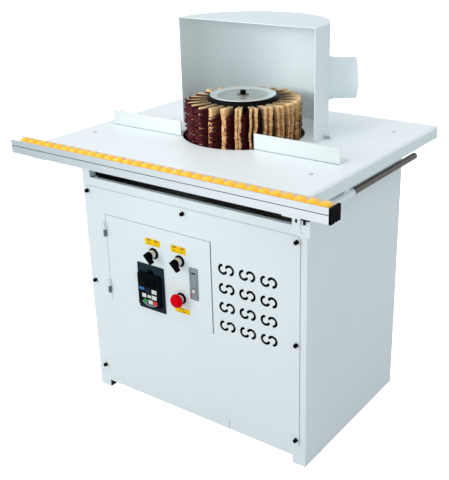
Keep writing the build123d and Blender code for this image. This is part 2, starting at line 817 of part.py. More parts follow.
spigot_turn = math.radians(spigot_direction)
spigot_start = hood_radius / 2
spigot_plane = Plane(
    origin=(
        spigot_start * math.cos(spigot_turn),
        hood_arc_y + spigot_start * math.sin(spigot_turn),
        table_height + spigot_height,
    ),
    x_dir=(0, 0, 1),
    z_dir=(math.cos(spigot_turn), math.sin(spigot_turn), 0),
)
spigot_radius = spigot_diameter / 2
tab_y = hood_arc_y + hood_radius * math.sin(math.radians(tab_angle))
tab_x = hood_radius * math.cos(math.radians(tab_angle)) - sheet / 2
with BuildPart() as dust_hood:
    with BuildSketch(Plane.XY.offset(table_height)):
        with BuildLine():
            hood_outline(hood_radius, hood_front_y)
        make_face()
    extrude(amount=hood_height)
    with BuildSketch(spigot_plane):
        Circle(spigot_radius)
    extrude(amount=spigot_reach - spigot_start)
    with BuildSketch(spigot_plane):
        Circle(spigot_radius + spigot_collar)
    extrude(amount=spigot_reach - spigot_seat - spigot_start)
    with BuildSketch(Plane.XY.offset(table_height)):
        with BuildLine():
            hood_outline(hood_radius - sheet, hood_front_y - sheet)
        make_face()
    extrude(amount=hood_height - sheet, mode=Mode.SUBTRACT)
    with BuildSketch(spigot_plane):
        Circle(spigot_radius - sheet)
    extrude(amount=spigot_reach - spigot_start, mode=Mode.SUBTRACT)
    for side in (-1, 1):
        slab(
            (side * tab_x, side * (tab_x + tab_reach)),
            (tab_y - tab_width / 2, tab_y + tab_width / 2),
            (table_height, table_height + tab_thickness),
        )
    slab(
        (-tab_width / 2, tab_width / 2),
        (hood_arc_y + hood_radius - sheet / 2, hood_arc_y + hood_radius + tab_reach),
        (table_height, table_height + tab_thickness),
    )
save(dust_hood.part, "dust_hood")

# Work fences: two steel angles each side of the brush, the flange cut clear of the hole
fence_front_y = spindle_y - fence_setback
fence_ends = ((-fence_left_outer, -fence_left_inner), (fence_right_inner, fence_right_outer))
with BuildPart() as work_fences:
    for ends in fence_ends:
        slab(
            ends,
            (fence_front_y, fence_front_y + fence_depth),
            (table_height, table_height + fence_thickness),
        )
    with Locations((0, spindle_y, table_height)):
        Cylinder(table_hole_diameter / 2 + fence_hole_margin, 4 * fence_thickness, mode=Mode.SUBTRACT)
    for ends in fence_ends:
        slab(
            ends,
            (fence_front_y, fence_front_y + fence_thickness),
            (table_height, table_height + fence_height),
        )
save(work_fences.part, "work_fences")

# Roller rail: an open channel with slotted ribs that hold the wheel axles
profile_right = rail_right - end_cap_thickness
rib_outer = rail_depth / 2 - rail_wall
rib_inner = rib_outer - rib_thickness
wheel_run = rail_length - wheel_first - wheel_last
wheel_places = [rail_left + wheel_first + i * wheel_pitch for i in range(1 + int(wheel_run / wheel_pitch))]
slot_radius = axle_diameter / 2 + running_clearance
with BuildPart() as rail_profile:
    slab((rail_left, profile_right), (rail_front_y, rail_back_y), (rail_bottom, rail_top))
    slab(
        (rail_left, profile_right),
        (rail_front_y + rail_wall, rail_back_y - rail_wall),
        (rail_bottom + rail_floor, rail_top),
        mode=Mode.SUBTRACT,
    )
    for side in (-1, 1):
        slab(
            (rail_left, profile_right),
            (rail_middle_y + side * rib_inner, rail_middle_y + side * rib_outer),
            (axle_z - rib_below, axle_z + rib_above),
        )
    with BuildSketch(facing(0, 0, rail_middle_y + rib_outer)):
        with Locations(*[(x, axle_z) for x in wheel_places]):
            Circle(slot_radius)
        with Locations(*[(x, axle_z + rib_above / 2) for x in wheel_places]):
            Rectangle(2 * slot_radius, rib_above)
    extrude(amount=2 * rib_outer, mode=Mode.SUBTRACT)
    groove_z = rail_top - rail_groove_drop
    slab(
        (rail_left, profile_right),
        (rail_front_y, rail_front_y + rail_groove_depth),
        (groove_z - rail_groove_width / 2, groove_z + rail_groove_width / 2),
        mode=Mode.SUBTRACT,
    )
save(rail_profile.part, "rail_profile")

# End cap on the rail's right end, with a small notch in its lower edge
with BuildPart() as rail_end_cap:
    slab((profile_right, rail_right), (rail_front_y, rail_back_y), (rail_bottom, rail_top))
    slab(
        (profile_right, rail_right),
        (rail_middle_y - end_cap_notch_width / 2, rail_middle_y + end_cap_notch_width / 2),
        (rail_bottom, rail_bottom + end_cap_notch_height),
        mode=Mode.SUBTRACT,
    )
save(rail_end_cap.part, "rail_end_cap")


# Rail wheels: each turns on its own moulded axle ends in the rail's slots
def rail_wheel(x):
    """One wheel with its axle ends, turned about an axis along Y."""
    with BuildPart() as wheel:
        with Locations(Location((x, rail_middle_y, axle_z), (90, 0, 0))):
            Cylinder(wheel_diameter / 2, wheel_width)
        fillet(wheel.edges().filter_by(GeomType.CIRCLE), radius=wheel_edge_radius)
        with Locations(Location((x, rail_middle_y, axle_z), (90, 0, 0))):
            Cylinder(axle_diameter / 2, wheel_width + 2 * axle_reach)
    return wheel.part


for number, x in enumerate(wheel_places, start=1):
    save(rail_wheel(x), f"rail_wheel_{number:02d}")

# Rail brackets: plates under the rail that carry the slide rods. The right one has a bent slit, and the left one
# hangs on an arm that reaches back under the table.
right_plate_y = rail_back_y + bracket_plate
left_plate_y = right_plate_y + bracket_arm
guides = (
    (rod_x, right_plate_y, bracket_below, spindle_y - sleeve_back_right),
    (-rod_x, left_plate_y, bracket_arm_below, spindle_y - sleeve_back_left),
)
slit_top_z = rod_height + bracket_slit_rise
slit_foot_z = slit_top_z - bracket_slit_length
slit_left = rod_x - bracket_slit_width / 2
with BuildPart() as rail_brackets:
    for x, plate_y, below, sleeve_back_y in guides:
        ends = (x - bracket_width / 2, x + bracket_width / 2)
        slab(ends, (rail_front_y, plate_y), (rail_bottom - bracket_plate, rail_bottom))
        slab(ends, (plate_y - bracket_plate, plate_y), (rod_height - below, rail_bottom))
    slab(
        (slit_left, slit_left + bracket_slit_width),
        (rail_back_y, right_plate_y),
        (slit_foot_z, slit_top_z),
        mode=Mode.SUBTRACT,
    )
    slab(
        (slit_left, slit_left + bracket_slit_foot),
        (rail_back_y, right_plate_y),
        (slit_foot_z, slit_foot_z + bracket_slit_width),
        mode=Mode.SUBTRACT,
    )
save(rail_brackets.part, "rail_brackets")

# Slide rods: polished bars from the brackets back under the table
rod_back_y = spindle_y + rod_back
with BuildPart() as slide_rods:
    for x, plate_y, below, sleeve_back_y in guides:
        with BuildSketch(facing(x, rod_height, rod_back_y)):
            Circle(rod_diameter / 2)
        extrude(amount=rod_back_y - plate_y)
save(slide_rods.part, "slide_rods")

# Guide sleeves: hang under the table on two hangers each, bored for the rods
with BuildPart() as guide_sleeves:
    for x, plate_y, below, sleeve_back_y in guides:
        sleeve_front_y = plate_y + sleeve_gap
        sleeve_length = sleeve_back_y - sleeve_front_y
        with BuildSketch(facing(x, rod_height, sleeve_back_y)):
            Circle(sleeve_diameter / 2)
        extrude(amount=sleeve_length)
        for y in (sleeve_front_y + hanger_length, sleeve_back_y - hanger_length):
            slab(
                (x - hanger_width / 2, x + hanger_width / 2),
                (y - hanger_length / 2, y + hanger_length / 2),
                (rod_height, cabinet_top),
            )
        with BuildSketch(facing(x, rod_height, sleeve_back_y)):
            Circle(rod_diameter / 2 + running_clearance)
        extrude(amount=sleeve_length, mode=Mode.SUBTRACT)
save(guide_sleeves.part, "guide_sleeves")
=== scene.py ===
import math
import random

import bmesh
import bpy
from mathutils import Matrix, Vector


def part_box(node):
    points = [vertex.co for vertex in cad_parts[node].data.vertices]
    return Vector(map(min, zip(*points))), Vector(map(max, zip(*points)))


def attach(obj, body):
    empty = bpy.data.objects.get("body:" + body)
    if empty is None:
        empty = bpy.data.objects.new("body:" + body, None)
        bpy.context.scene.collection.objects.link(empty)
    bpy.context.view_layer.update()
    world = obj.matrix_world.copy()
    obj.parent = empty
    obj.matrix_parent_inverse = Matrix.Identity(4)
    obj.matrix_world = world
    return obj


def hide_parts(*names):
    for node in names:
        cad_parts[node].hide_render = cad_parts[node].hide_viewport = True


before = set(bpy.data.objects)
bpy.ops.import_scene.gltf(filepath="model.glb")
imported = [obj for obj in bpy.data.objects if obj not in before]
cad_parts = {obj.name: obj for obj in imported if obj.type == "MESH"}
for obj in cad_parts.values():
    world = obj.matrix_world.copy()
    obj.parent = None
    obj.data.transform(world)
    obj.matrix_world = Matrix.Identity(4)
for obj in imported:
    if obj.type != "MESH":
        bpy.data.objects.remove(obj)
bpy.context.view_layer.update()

# Shapes are drawn in millimetres and put into metres when a piece is finished
MILLIMETRE = 0.001
PANEL_FRONT = -264.5
TABLE_TOP = 846.0
SPINDLE_Y = 23.0
SWITCH_RISE = 12.0
COLLAR_RISE = 18.0
SELECTORS = (("left", -124.5), ("right", -26.5))
SELECTOR_Z = 533.0
SELECTOR_TURN = -50.0
STOP_X = -27.0
STOP_Z = 415.0
DRIVE_X = -140.0
DRIVE_Z = 419.0
LATCH_X = 23.0


# Placing and shaping helpers

def on_front(x, z, rise=0.0, turn=0.0):
    """Place on a face that looks forwards: local X runs right, local Y up and local Z out of the face."""
    upright = Matrix.Translation((x, PANEL_FRONT - rise, z)) @ Matrix.Rotation(math.radians(90), 4, "X")
    return upright @ Matrix.Rotation(math.radians(turn), 4, "Z")


def on_table(x, y, z=TABLE_TOP):
    """Place on a level face."""
    return Matrix.Translation((x, y, z))


def round_edges(shape, corners, by, segments=2):
    """Rounds every edge that meets the given corners."""
    edges = list({edge for corner in corners for edge in corner.link_edges})
    bmesh.ops.bevel(
        shape, geom=edges, offset=by, offset_type="OFFSET", affect="EDGES", segments=segments,
        profile=0.5, material=-1,
    )


def block(shape, low, high, place=Matrix(), edge=0.0, segments=2):
    """A block between two corners, with rounded edges where edge is given."""
    low = Vector(low)
    high = Vector(high)
    sized = Matrix.Translation((low + high) / 2) @ Matrix.Diagonal((*(high - low), 1.0))
    corners = bmesh.ops.create_cube(shape, size=1.0, matrix=place @ sized)["verts"]
    if edge:
        round_edges(shape, corners, edge, segments)


def turned(shape, outline, place=Matrix(), steps=48):
    """Spins an outline of (radius, height) points about the place's own Z."""
    points = [shape.verts.new(place @ Vector((radius, 0.0, height))) for radius, height in outline]
    lines = [shape.edges.new(pair) for pair in zip(points, points[1:])]
    axis = place.to_3x3() @ Vector((0.0, 0.0, 1.0))
    bmesh.ops.spin(
        shape, geom=points + lines, cent=place.translation, axis=axis, angle=math.tau, steps=steps,
        use_merge=True,
    )


def six_sided(shape, place, across, tall, edge=0.5):
    """A six sided head standing on its place."""
    radius = across / math.sqrt(3)
    middle = place @ Matrix.Translation((0.0, 0.0, tall / 2))
    corners = bmesh.ops.create_cone(
        shape, cap_ends=True, segments=6, radius1=radius, radius2=radius, depth=tall, matrix=middle
    )["verts"]
    round_edges(shape, corners, edge)


def finish_piece(shape, name, material, body, crease=35.0):
    """Makes the shape a piece of the object that moves with a body."""
    bmesh.ops.remove_doubles(shape, verts=shape.verts, dist=0.001)
    bmesh.ops.recalc_face_normals(shape, faces=shape.faces)
    bmesh.ops.scale(shape, vec=(MILLIMETRE, MILLIMETRE, MILLIMETRE), verts=shape.verts)
    mesh = bpy.data.meshes.new(name)
    shape.to_mesh(mesh)
    shape.free()
    mesh.materials.append(material)
    mesh.shade_smooth()
    mesh.set_sharp_from_angle(angle=math.radians(crease))
    piece = bpy.data.objects.new(name, mesh)
    bpy.context.scene.collection.objects.link(piece)
    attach(piece, body)
    return piece


# Shared surface effects

NOISE_ROUGHNESS = 0.55
# Parts of a noise's range that are stretched to the full range
LINE_CONTRAST = (0.25, 0.75)
PATCH_CONTRAST = (0.3, 0.7)
# How close a drawn metal's lines lie across and along the way it was drawn
LINES_ACROSS = 900.0
LINES_ALONG = 5.0


def new_effect(name, inputs, outputs):
    """An empty node group with number inputs and outputs."""
    tree = bpy.data.node_groups.new(name, "ShaderNodeTree")
    for socket, value in inputs.items():
        tree.interface.new_socket(socket, in_out="INPUT", socket_type="NodeSocketFloat").default_value = value
    for socket in outputs:
        tree.interface.new_socket(socket, in_out="OUTPUT", socket_type="NodeSocketFloat")
    return tree, tree.nodes.new("NodeGroupInput"), tree.nodes.new("NodeGroupOutput")


def object_place(tree):
    """A point's place in its own object."""
    return tree.nodes.new("ShaderNodeTexCoord").outputs["Object"]


def split_place(tree):
    """A point's place in its own object, as separate X, Y and Z."""
    split = tree.nodes.new("ShaderNodeSeparateXYZ")
    tree.links.new(object_place(tree), split.inputs["Vector"])
    return split.outputs


def add_noise(tree, vector, scale, detail):
    """A noise texture whose scale is a number or another node's socket."""
    noise = tree.nodes.new("ShaderNodeTexNoise")
    tree.links.new(vector, noise.inputs["Vector"])
    if isinstance(scale, (int, float)):
        noise.inputs["Scale"].default_value = scale
    else:
        tree.links.new(scale, noise.inputs["Scale"])
    noise.inputs["Detail"].default_value = detail
    noise.inputs["Roughness"].default_value = NOISE_ROUGHNESS
    return noise.outputs["Fac"]


def add_range(tree, value, low, high, to_low=0.0, to_high=1.0):
    """Stretches part of a value's range, held at both ends."""
    stretch = tree.nodes.new("ShaderNodeMapRange")
    tree.links.new(value, stretch.inputs["Value"])
    stretch.inputs["From Min"].default_value = low
    stretch.inputs["From Max"].default_value = high
    stretch.inputs["To Min"].default_value = to_low
    stretch.inputs["To Max"].default_value = to_high
    return stretch.outputs["Result"]


def add_math(tree, operation, first, second):
    """A sum on two sockets, or on a socket and a number."""
    node = tree.nodes.new("ShaderNodeMath")
    node.operation = operation
    for socket, value in zip(node.inputs, (first, second)):
        if isinstance(value, (int, float)):
            socket.default_value = value
        else:
            tree.links.new(value, socket)
    return node.outputs["Value"]


def make_coat_effect():
    """Sprayed coat: fine peel for the bump, slow clouds and a few dust specks."""
    inputs = {"Peel Scale": 650.0, "Cloud Scale": 2.4, "Speck Scale": 240.0}
    tree, given, result = new_effect("sprayed_coat", inputs, ("Peel", "Cloud", "Specks"))
    place = object_place(tree)
    peel = add_noise(tree, place, given.outputs["Peel Scale"], 2.0)
    cloud = add_noise(tree, place, given.outputs["Cloud Scale"], 4.0)
    specks = add_noise(tree, place, given.outputs["Speck Scale"], 1.0)
    tree.links.new(peel, result.inputs["Peel"])
    tree.links.new(add_range(tree, cloud, *PATCH_CONTRAST), result.inputs["Cloud"])
    tree.links.new(add_range(tree, specks, 0.71, 0.76), result.inputs["Specks"])
    return tree


def make_drawn_effect():
    """Drawn or brushed metal: fine lines stretched along one axis."""
    inputs = {"Along " + axis: LINES_ACROSS for axis in "XYZ"}
    tree, given, result = new_effect("drawn_lines", inputs, ("Lines",))
    stretch = tree.nodes.new("ShaderNodeCombineXYZ")
    for axis in "XYZ":
        tree.links.new(given.outputs["Along " + axis], stretch.inputs[axis])
    spread = tree.nodes.new("ShaderNodeVectorMath")
    spread.operation = "MULTIPLY"
    tree.links.new(object_place(tree), spread.inputs[0])
    tree.links.new(stretch.outputs["Vector"], spread.inputs[1])
    lines = add_noise(tree, spread.outputs["Vector"], 1.0, 3.0)
    tree.links.new(add_range(tree, lines, *LINE_CONTRAST), result.inputs["Lines"])
    return tree


def make_ring_effect():
    """Turning marks: rings about an upright axis, slow patches, and a mask outside an edge radius."""
    inputs = {"Centre X": 0.0, "Centre Y": SPINDLE_Y * MILLIMETRE, "Rings": 900.0, "Edge": 0.075}
    edge_blur = 0.003
    tree, given, result = new_effect("turning_rings", inputs, ("Lines", "Patches", "Outer"))
    split = split_place(tree)
    squares = []
    for axis in "XY":
        off_centre = add_math(tree, "SUBTRACT", split[axis], given.outputs["Centre " + axis])
        squares.append(add_math(tree, "MULTIPLY", off_centre, off_centre))
    radius = add_math(tree, "SQRT", add_math(tree, "ADD", *squares), 0.0)
    combine = tree.nodes.new("ShaderNodeCombineXYZ")
    tree.links.new(add_math(tree, "MULTIPLY", radius, given.outputs["Rings"]), combine.inputs["X"])
    lines = add_noise(tree, combine.outputs["Vector"], 1.0, 2.0)
    patches = add_noise(tree, object_place(tree), 22.0, 3.0)
    past_edge = add_math(tree, "SUBTRACT", radius, given.outputs["Edge"])
    tree.links.new(add_range(tree, lines, *LINE_CONTRAST), result.inputs["Lines"])
    tree.links.new(add_range(tree, patches, *PATCH_CONTRAST), result.inputs["Patches"])
    tree.links.new(add_range(tree, past_edge, -edge_blur, edge_blur), result.inputs["Outer"])
    return tree


def make_grain_effect():
    """Moulded or cast grain: small cells for the bump and slow patches."""
    inputs = {"Grain Scale": 900.0, "Patch Scale": 30.0}
    tree, given, result = new_effect("moulded_grain", inputs, ("Grain", "Patches"))
    place = object_place(tree)
    cells = tree.nodes.new("ShaderNodeTexVoronoi")
    tree.links.new(place, cells.inputs["Vector"])
    tree.links.new(given.outputs["Grain Scale"], cells.inputs["Scale"])
    patches = add_noise(tree, place, given.outputs["Patch Scale"], 3.0)
    tree.links.new(cells.outputs["Distance"], result.inputs["Grain"])
    tree.links.new(add_range(tree, patches, *PATCH_CONTRAST), result.inputs["Patches"])
    return tree


def make_inside_effect():
    """A mask that is one between a front and a back plane, within a half width and below a top."""
    inputs = {"Half Width": 0.394, "Front": -0.2615, "Back": 0.2725, "Top": 2.0}
    tree, given, result = new_effect("inside_faces", inputs, ("Inside",))
    split = split_place(tree)
    off_middle = add_math(tree, "ABSOLUTE", split["X"], 0.0)
    across = add_math(tree, "LESS_THAN", off_middle, given.outputs["Half Width"])
    behind = add_math(tree, "GREATER_THAN", split["Y"], given.outputs["Front"])
    before = add_math(tree, "LESS_THAN", split["Y"], given.outputs["Back"])
    below = add_math(tree, "LESS_THAN", split["Z"], given.outputs["Top"])
    deep = add_math(tree, "MULTIPLY", behind, before)
    inside = add_math(tree, "MULTIPLY", add_math(tree, "MULTIPLY", across, below), deep)
    tree.links.new(inside, result.inputs["Inside"])
    return tree


COAT = make_coat_effect()
DRAWN = make_drawn_effect()
RINGS = make_ring_effect()
GRAIN = make_grain_effect()
INSIDE = make_inside_effect()


# Finishes

def screen(red, green, blue):
    """A colour given as it shows on a screen, put into the shader's linear values."""
    def linear(part):
        part = part / 255
        return part / 12.92 if part <= 0.04045 else ((part + 0.055) / 1.055) ** 2.4
    return (linear(red), linear(green), linear(blue), 1.0)


# Depths of a bump in metres
FINE_DEPTH = 0.0004
COARSE_DEPTH = 0.0005
SPECK_GREY = screen(120, 128, 130)
PALE_INSIDE = screen(240, 242, 242)
# Painted shade in the rail's front groove
GROOVE_SHADE = screen(62, 68, 72)


def place_effect(tree, effect, settings):
    """Puts a shared effect into a material with its own values."""
    node = tree.nodes.new("ShaderNodeGroup")
    node.node_tree = effect
    for socket, value in settings.items():
        node.inputs[socket].default_value = value
    return node.outputs


def read_layer(tree, name):
    """A number that a piece keeps on its corners."""
    layer = tree.nodes.new("ShaderNodeAttribute")
    layer.attribute_name = name
    return layer.outputs["Fac"]


def add_mix(tree, amount, first, second):
    """Mixes two colours, each a plain colour or another node's socket."""
    mix = tree.nodes.new("ShaderNodeMix")
    mix.data_type = "RGBA"
    tree.links.new(amount, mix.inputs["Factor"])
    for index, colour in ((6, first), (7, second)):
        if isinstance(colour, tuple):
            mix.inputs[index].default_value = colour
        else:
            tree.links.new(colour, mix.inputs[index])
    return mix.outputs[2]


def add_roughness(tree, shader, value, rough):
    """Lets the shader's roughness follow a value between two limits."""
    tree.links.new(add_range(tree, value, 0.0, 1.0, *rough), shader.inputs["Roughness"])


def add_bump(tree, shader, height, strength, depth):
    """Feeds a height to the shader's normal."""
    bump = tree.nodes.new("ShaderNodeBump")
    bump.inputs["Strength"].default_value = strength
    bump.inputs["Distance"].default_value = depth
    tree.links.new(height, bump.inputs["Height"])
    tree.links.new(bump.outputs["Normal"], shader.inputs["Normal"])


def new_finish(name, constants):
    """A material whose shader has the given plain values."""
    finish = bpy.data.materials.new(name)
    finish.use_nodes = True
    shader = finish.node_tree.nodes["Principled BSDF"]
    for socket, value in constants.items():
        shader.inputs[socket].default_value = value
    return finish, finish.node_tree, shader


def add_shade(tree, colour, masks, shade):
    """Changes a colour to another where inside masks say: painted shade on inside faces, in grooves, on the
    table's skirt and on the floor under the machine, and a pale inside for the rail.
    """
    for settings in masks:
        mask = place_effect(tree, INSIDE, settings)
        colour = add_mix(tree, mask["Inside"], colour, shade)
    return colour


def surface(name, effect, settings, tone, relief, light, dark, rough, bump, constants, masks=(), groove_shade_masks=()):
    """A finish with two tones, a roughness that follows them and a fine relief, all from one shared effect.

    Inside masks make it pale and dull, and groove masks paint shade into its grooves.
    """
    finish, tree, shader = new_finish(name, constants)
    parts = place_effect(tree, effect, settings)
    colour = add_mix(tree, parts[tone], light, dark)
    colour = add_shade(tree, colour, masks, PALE_INSIDE)
    colour = add_shade(tree, colour, groove_shade_masks, GROOVE_SHADE)
    for mask in masks:
        inside = place_effect(tree, INSIDE, mask)["Inside"]
        dulled = add_range(tree, inside, 0.0, 1.0, constants["Metallic"], 0.0)
        tree.links.new(dulled, shader.inputs["Metallic"])
    tree.links.new(colour, shader.inputs["Base Color"])
    add_roughness(tree, shader, parts[tone], rough)
    add_bump(tree, shader, parts[relief], bump, FINE_DEPTH)
    return finish


# The default shade is the dark grey painted shade of inside faces.
def painted(name, light, dark, masks=(), shade=screen(46, 48, 50)):
    """White sprayed steel with faint clouds and specks, with painted shade where its inside masks say."""
    finish, tree, shader = new_finish(name, {"Coat Weight": 0.08, "Coat Roughness": 0.25})
    coat = place_effect(tree, COAT, {})
    colour = add_mix(tree, coat["Cloud"], light, dark)
    faint_specks = add_range(tree, coat["Specks"], 0.0, 1.0, 0.0, 0.12)
    colour = add_mix(tree, faint_specks, colour, SPECK_GREY)
    colour = add_shade(tree, colour, masks, shade)
    tree.links.new(colour, shader.inputs["Base Color"])
    add_roughness(tree, shader, coat["Cloud"], (0.34, 0.46))
    add_bump(tree, shader, coat["Peel"], 0.06, FINE_DEPTH)
    return finish


def plastic(name, light, dark, rough, grain=1100.0, bump=0.08, constants=None):
    """Moulded plastic with a fine grain."""
    return surface(
        name, GRAIN, {"Grain Scale": grain}, "Patches", "Grain", light, dark, rough, bump, constants or {}
    )


def metal(name, light, dark, rough, along, bump=0.06, metallic=1.0, masks=(), groove_shade_masks=()):
    """Metal with drawn lines along one axis, dull and pale where inside masks say, with painted shade in its
    grooves.
    """
    settings = {"Along " + axis: LINES_ACROSS for axis in "XYZ"}
    settings["Along " + along] = LINES_ALONG
    constants = {"Metallic": metallic}
    return surface(
        name, DRAWN, settings, "Lines", "Lines", light, dark, rough, bump, constants, masks, groove_shade_masks
    )


def brush_finish(name, light, dark, shade, rough):
    """Bristle: each strand has its own tone, with painted shade towards its root where the strips shade each
    other.
    """
    finish, tree, shader = new_finish(name, {"Sheen Weight": 0.08, "Specular IOR Level": 0.15})
    grain = place_effect(tree, GRAIN, {"Grain Scale": 700.0, "Patch Scale": 60.0})
    colour = add_mix(tree, read_layer(tree, "tone"), light, dark)
    # Painted shade: strands darken towards the root, where the gaps between strips lie in shadow.
    root = add_range(tree, read_layer(tree, "reach"), 0.2, 0.75, 0.95, 0.0)
    colour = add_mix(tree, root, colour, shade)
    tree.links.new(colour, shader.inputs["Base Color"])
    add_roughness(tree, shader, grain["Patches"], rough)
    add_bump(tree, shader, grain["Grain"], 0.25, COARSE_DEPTH)
    return finish


def cloth_finish(name, light, dark, worn):
    """Abrasive cloth: grit cells, slow patches, paler worn tips and painted shade towards the root."""
    finish, tree, shader = new_finish(name, {"Specular IOR Level": 0.12})
    reach = read_layer(tree, "reach")
    grit = place_effect(tree, GRAIN, {"Grain Scale": 1500.0, "Patch Scale": 45.0})
    colour = add_mix(tree, grit["Patches"], light, dark)
    wear = add_range(tree, reach, 0.86, 1.0, 0.0, 0.35)
    colour = add_mix(tree, wear, colour, worn)
    # Painted shade: the cloth darkens towards its root, where the strips shade it.
    root = add_range(tree, reach, 0.15, 0.7, 0.8, 0.0)
    colour = add_mix(tree, root, colour, screen(30, 12, 14))
    tree.links.new(colour, shader.inputs["Base Color"])
    add_roughness(tree, shader, grit["Patches"], (0.62, 0.8))
    add_bump(tree, shader, grit["Grain"], 0.5, COARSE_DEPTH)
    return finish


def dished(name, rim, floor, stain):
    """Turned plate whose rim is painted brighter than its floor, as a painted highlight and painted shade
    that show the dish, with faint stain patches on the floor.
    """
    finish, tree, shader = new_finish(name, {"Metallic": 0.5})
    rings = place_effect(tree, RINGS, {})
    inner = add_mix(tree, rings["Patches"], floor, stain)
    # Painted highlight outside the edge radius, painted shade on the floor inside it
    tree.links.new(add_mix(tree, rings["Outer"], inner, rim), shader.inputs["Base Color"])
    add_roughness(tree, shader, rings["Lines"], (0.26, 0.36))
    add_bump(tree, shader, rings["Lines"], 0.03, FINE_DEPTH)
    return finish


WHITE = screen(234, 242, 242)
WHITE_CLOUD = screen(229, 238, 239)
white_paint = painted("white_paint", WHITE, WHITE_CLOUD)
# A darker copy of the white paint, as painted shade on the strongly lit fences.
fence_paint_shaded = painted("fence_paint_shaded", screen(230, 235, 234), screen(225, 231, 230))
# A lighter copy of the white paint as painted light on the table, with painted shade on the skirt below 838
# mm.
table_paint_lit_with_skirt_shade = painted(
    "table_paint_lit_with_skirt_shade", screen(252, 255, 255), screen(247, 252, 252),
    ({"Half Width": 1.0, "Front": -1.0, "Back": 1.0, "Top": 0.838},), screen(227, 239, 237),
)
# The cabinet's inside faces are painted dark grey as painted shade, so the vents, the slot and the gaps read
# black.
cabinet_paint_with_inner_shade = painted(
    "cabinet_paint_with_inner_shade", WHITE, WHITE_CLOUD,
    (
        {"Half Width": 0.3935, "Front": -0.237, "Back": 0.2722},
        {"Half Width": 0.3935, "Front": -0.2608, "Back": 0.2722, "Top": 0.7215},
    ),
)
# The panel's inside faces are painted dark grey as painted shade.
panel_paint_with_inner_shade = painted(
    "panel_paint_with_inner_shade", WHITE, WHITE_CLOUD, ({"Half Width": 0.5, "Front": -0.2636, "Back": 0.5},)
)
DULL = {"Specular IOR Level": 0.02}
SATIN = (0.4, 0.52)
KEY_SATIN = (0.35, 0.45)
black_plastic = plastic("black_plastic", screen(5, 6, 7), screen(10, 11, 12), SATIN, constants=DULL)
unit_plastic = plastic("unit_plastic", screen(12, 17, 20), screen(15, 21, 25), SATIN, constants=DULL)
drive_plastic = plastic("drive_plastic", screen(31, 46, 55), screen(36, 51, 60), SATIN, constants=DULL)
red_plastic = plastic(
    "red_plastic", screen(226, 0, 20), screen(216, 0, 16), (0.3, 0.42), bump=0.03, constants=DULL
)
# The wheels' plastic glows a little yellow of its own, as painted light.
yellow_plastic = plastic(
    "yellow_plastic", screen(255, 206, 60), screen(255, 196, 44), (0.3, 0.42),
    constants={"Subsurface Weight": 0.05, "Emission Color": screen(255, 176, 20), "Emission Strength": 0.2},
)
zinc_metal = metal("zinc_metal", screen(196, 200, 202), screen(172, 176, 180), (0.3, 0.45), "Z")
latch_metal = metal(
    "latch_metal", screen(156, 168, 170), screen(130, 142, 144), (0.42, 0.55), "Z", metallic=0.45
)
barrel_metal = metal(
    "barrel_metal", screen(248, 248, 246), screen(226, 226, 224), (0.3, 0.4), "Z", metallic=0.15
)
collar_metal = metal("collar_metal", screen(222, 224, 222), screen(190, 188, 178), (0.16, 0.28), "Y")
chromed_steel = metal(
    "chromed_steel", screen(128, 118, 114), screen(104, 96, 93), (0.12, 0.22), "Y", bump=0.02
)
rail_metal = metal(
    "rail_metal", screen(236, 240, 242), screen(226, 231, 234), (0.3, 0.4), "X", bump=0.04, metallic=0.7,
    masks=({"Half Width": 0.535, "Front": -0.3943, "Back": -0.3515, "Top": 0.8465},),
    groove_shade_masks=({"Half Width": 0.535, "Front": -0.3957, "Back": -0.3943, "Top": 0.8465},),
)
black_steel = plastic(
    "black_steel", screen(6, 7, 8), screen(10, 11, 12), (0.34, 0.48), grain=1600.0, constants=DULL
)
seam_and_shadow_grey = plastic("seam_and_shadow_grey", screen(138, 166, 176), screen(126, 152, 162), (0.5, 0.6), bump=0.03)
hub_black = plastic(
    "hub_black", screen(4, 5, 6), screen(8, 9, 10), (0.4, 0.5), grain=1600.0, bump=0.03,
    constants={"Specular IOR Level": 0.12},
)
hinge_steel = plastic("hinge_steel", screen(88, 104, 112), screen(106, 122, 130), (0.34, 0.48), grain=1600.0)
bright_steel = surface(
    "bright_steel", RINGS, {}, "Lines", "Lines", screen(232, 235, 236), screen(212, 215, 217),
    (0.14, 0.24), 0.08, {"Metallic": 1.0},
)
washer_steel = surface(
    "washer_steel", RINGS, {}, "Lines", "Lines", screen(140, 134, 124), screen(112, 107, 98),
    (0.4, 0.5), 0.08, {"Metallic": 0.7},
)
# Rim, floor and stain colours: the bright rim is a painted highlight.
flange_steel = dished("flange_steel", screen(238, 242, 242), screen(208, 213, 211), screen(180, 181, 175))
cast_iron = plastic("cast_iron", screen(92, 98, 102), screen(74, 79, 83), (0.5, 0.68), grain=420.0, bump=0.35)
label_yellow = plastic(
    "label_yellow", screen(255, 208, 20), screen(250, 200, 16), (0.4, 0.5), bump=0.03, constants=DULL
)
print_black = plastic("print_black", screen(34, 22, 10), screen(44, 30, 14), (0.5, 0.6), bump=0.03)
window_black = plastic(
    "window_black", screen(4, 6, 8), screen(8, 11, 14), (0.12, 0.2), bump=0.01, constants=DULL
)
key_white = plastic("key_white", screen(226, 228, 226), screen(214, 217, 216), KEY_SATIN, bump=0.04)
key_green = plastic("key_green", screen(38, 140, 84), screen(30, 122, 72), KEY_SATIN, bump=0.04)
key_red = plastic("key_red", screen(206, 52, 40), screen(190, 40, 32), KEY_SATIN, bump=0.04)
key_grey = plastic("key_grey", screen(150, 156, 160), screen(136, 142, 146), (0.4, 0.5), bump=0.04)
key_blue = plastic("key_blue", screen(20, 120, 190), screen(16, 106, 172), KEY_SATIN, bump=0.04)
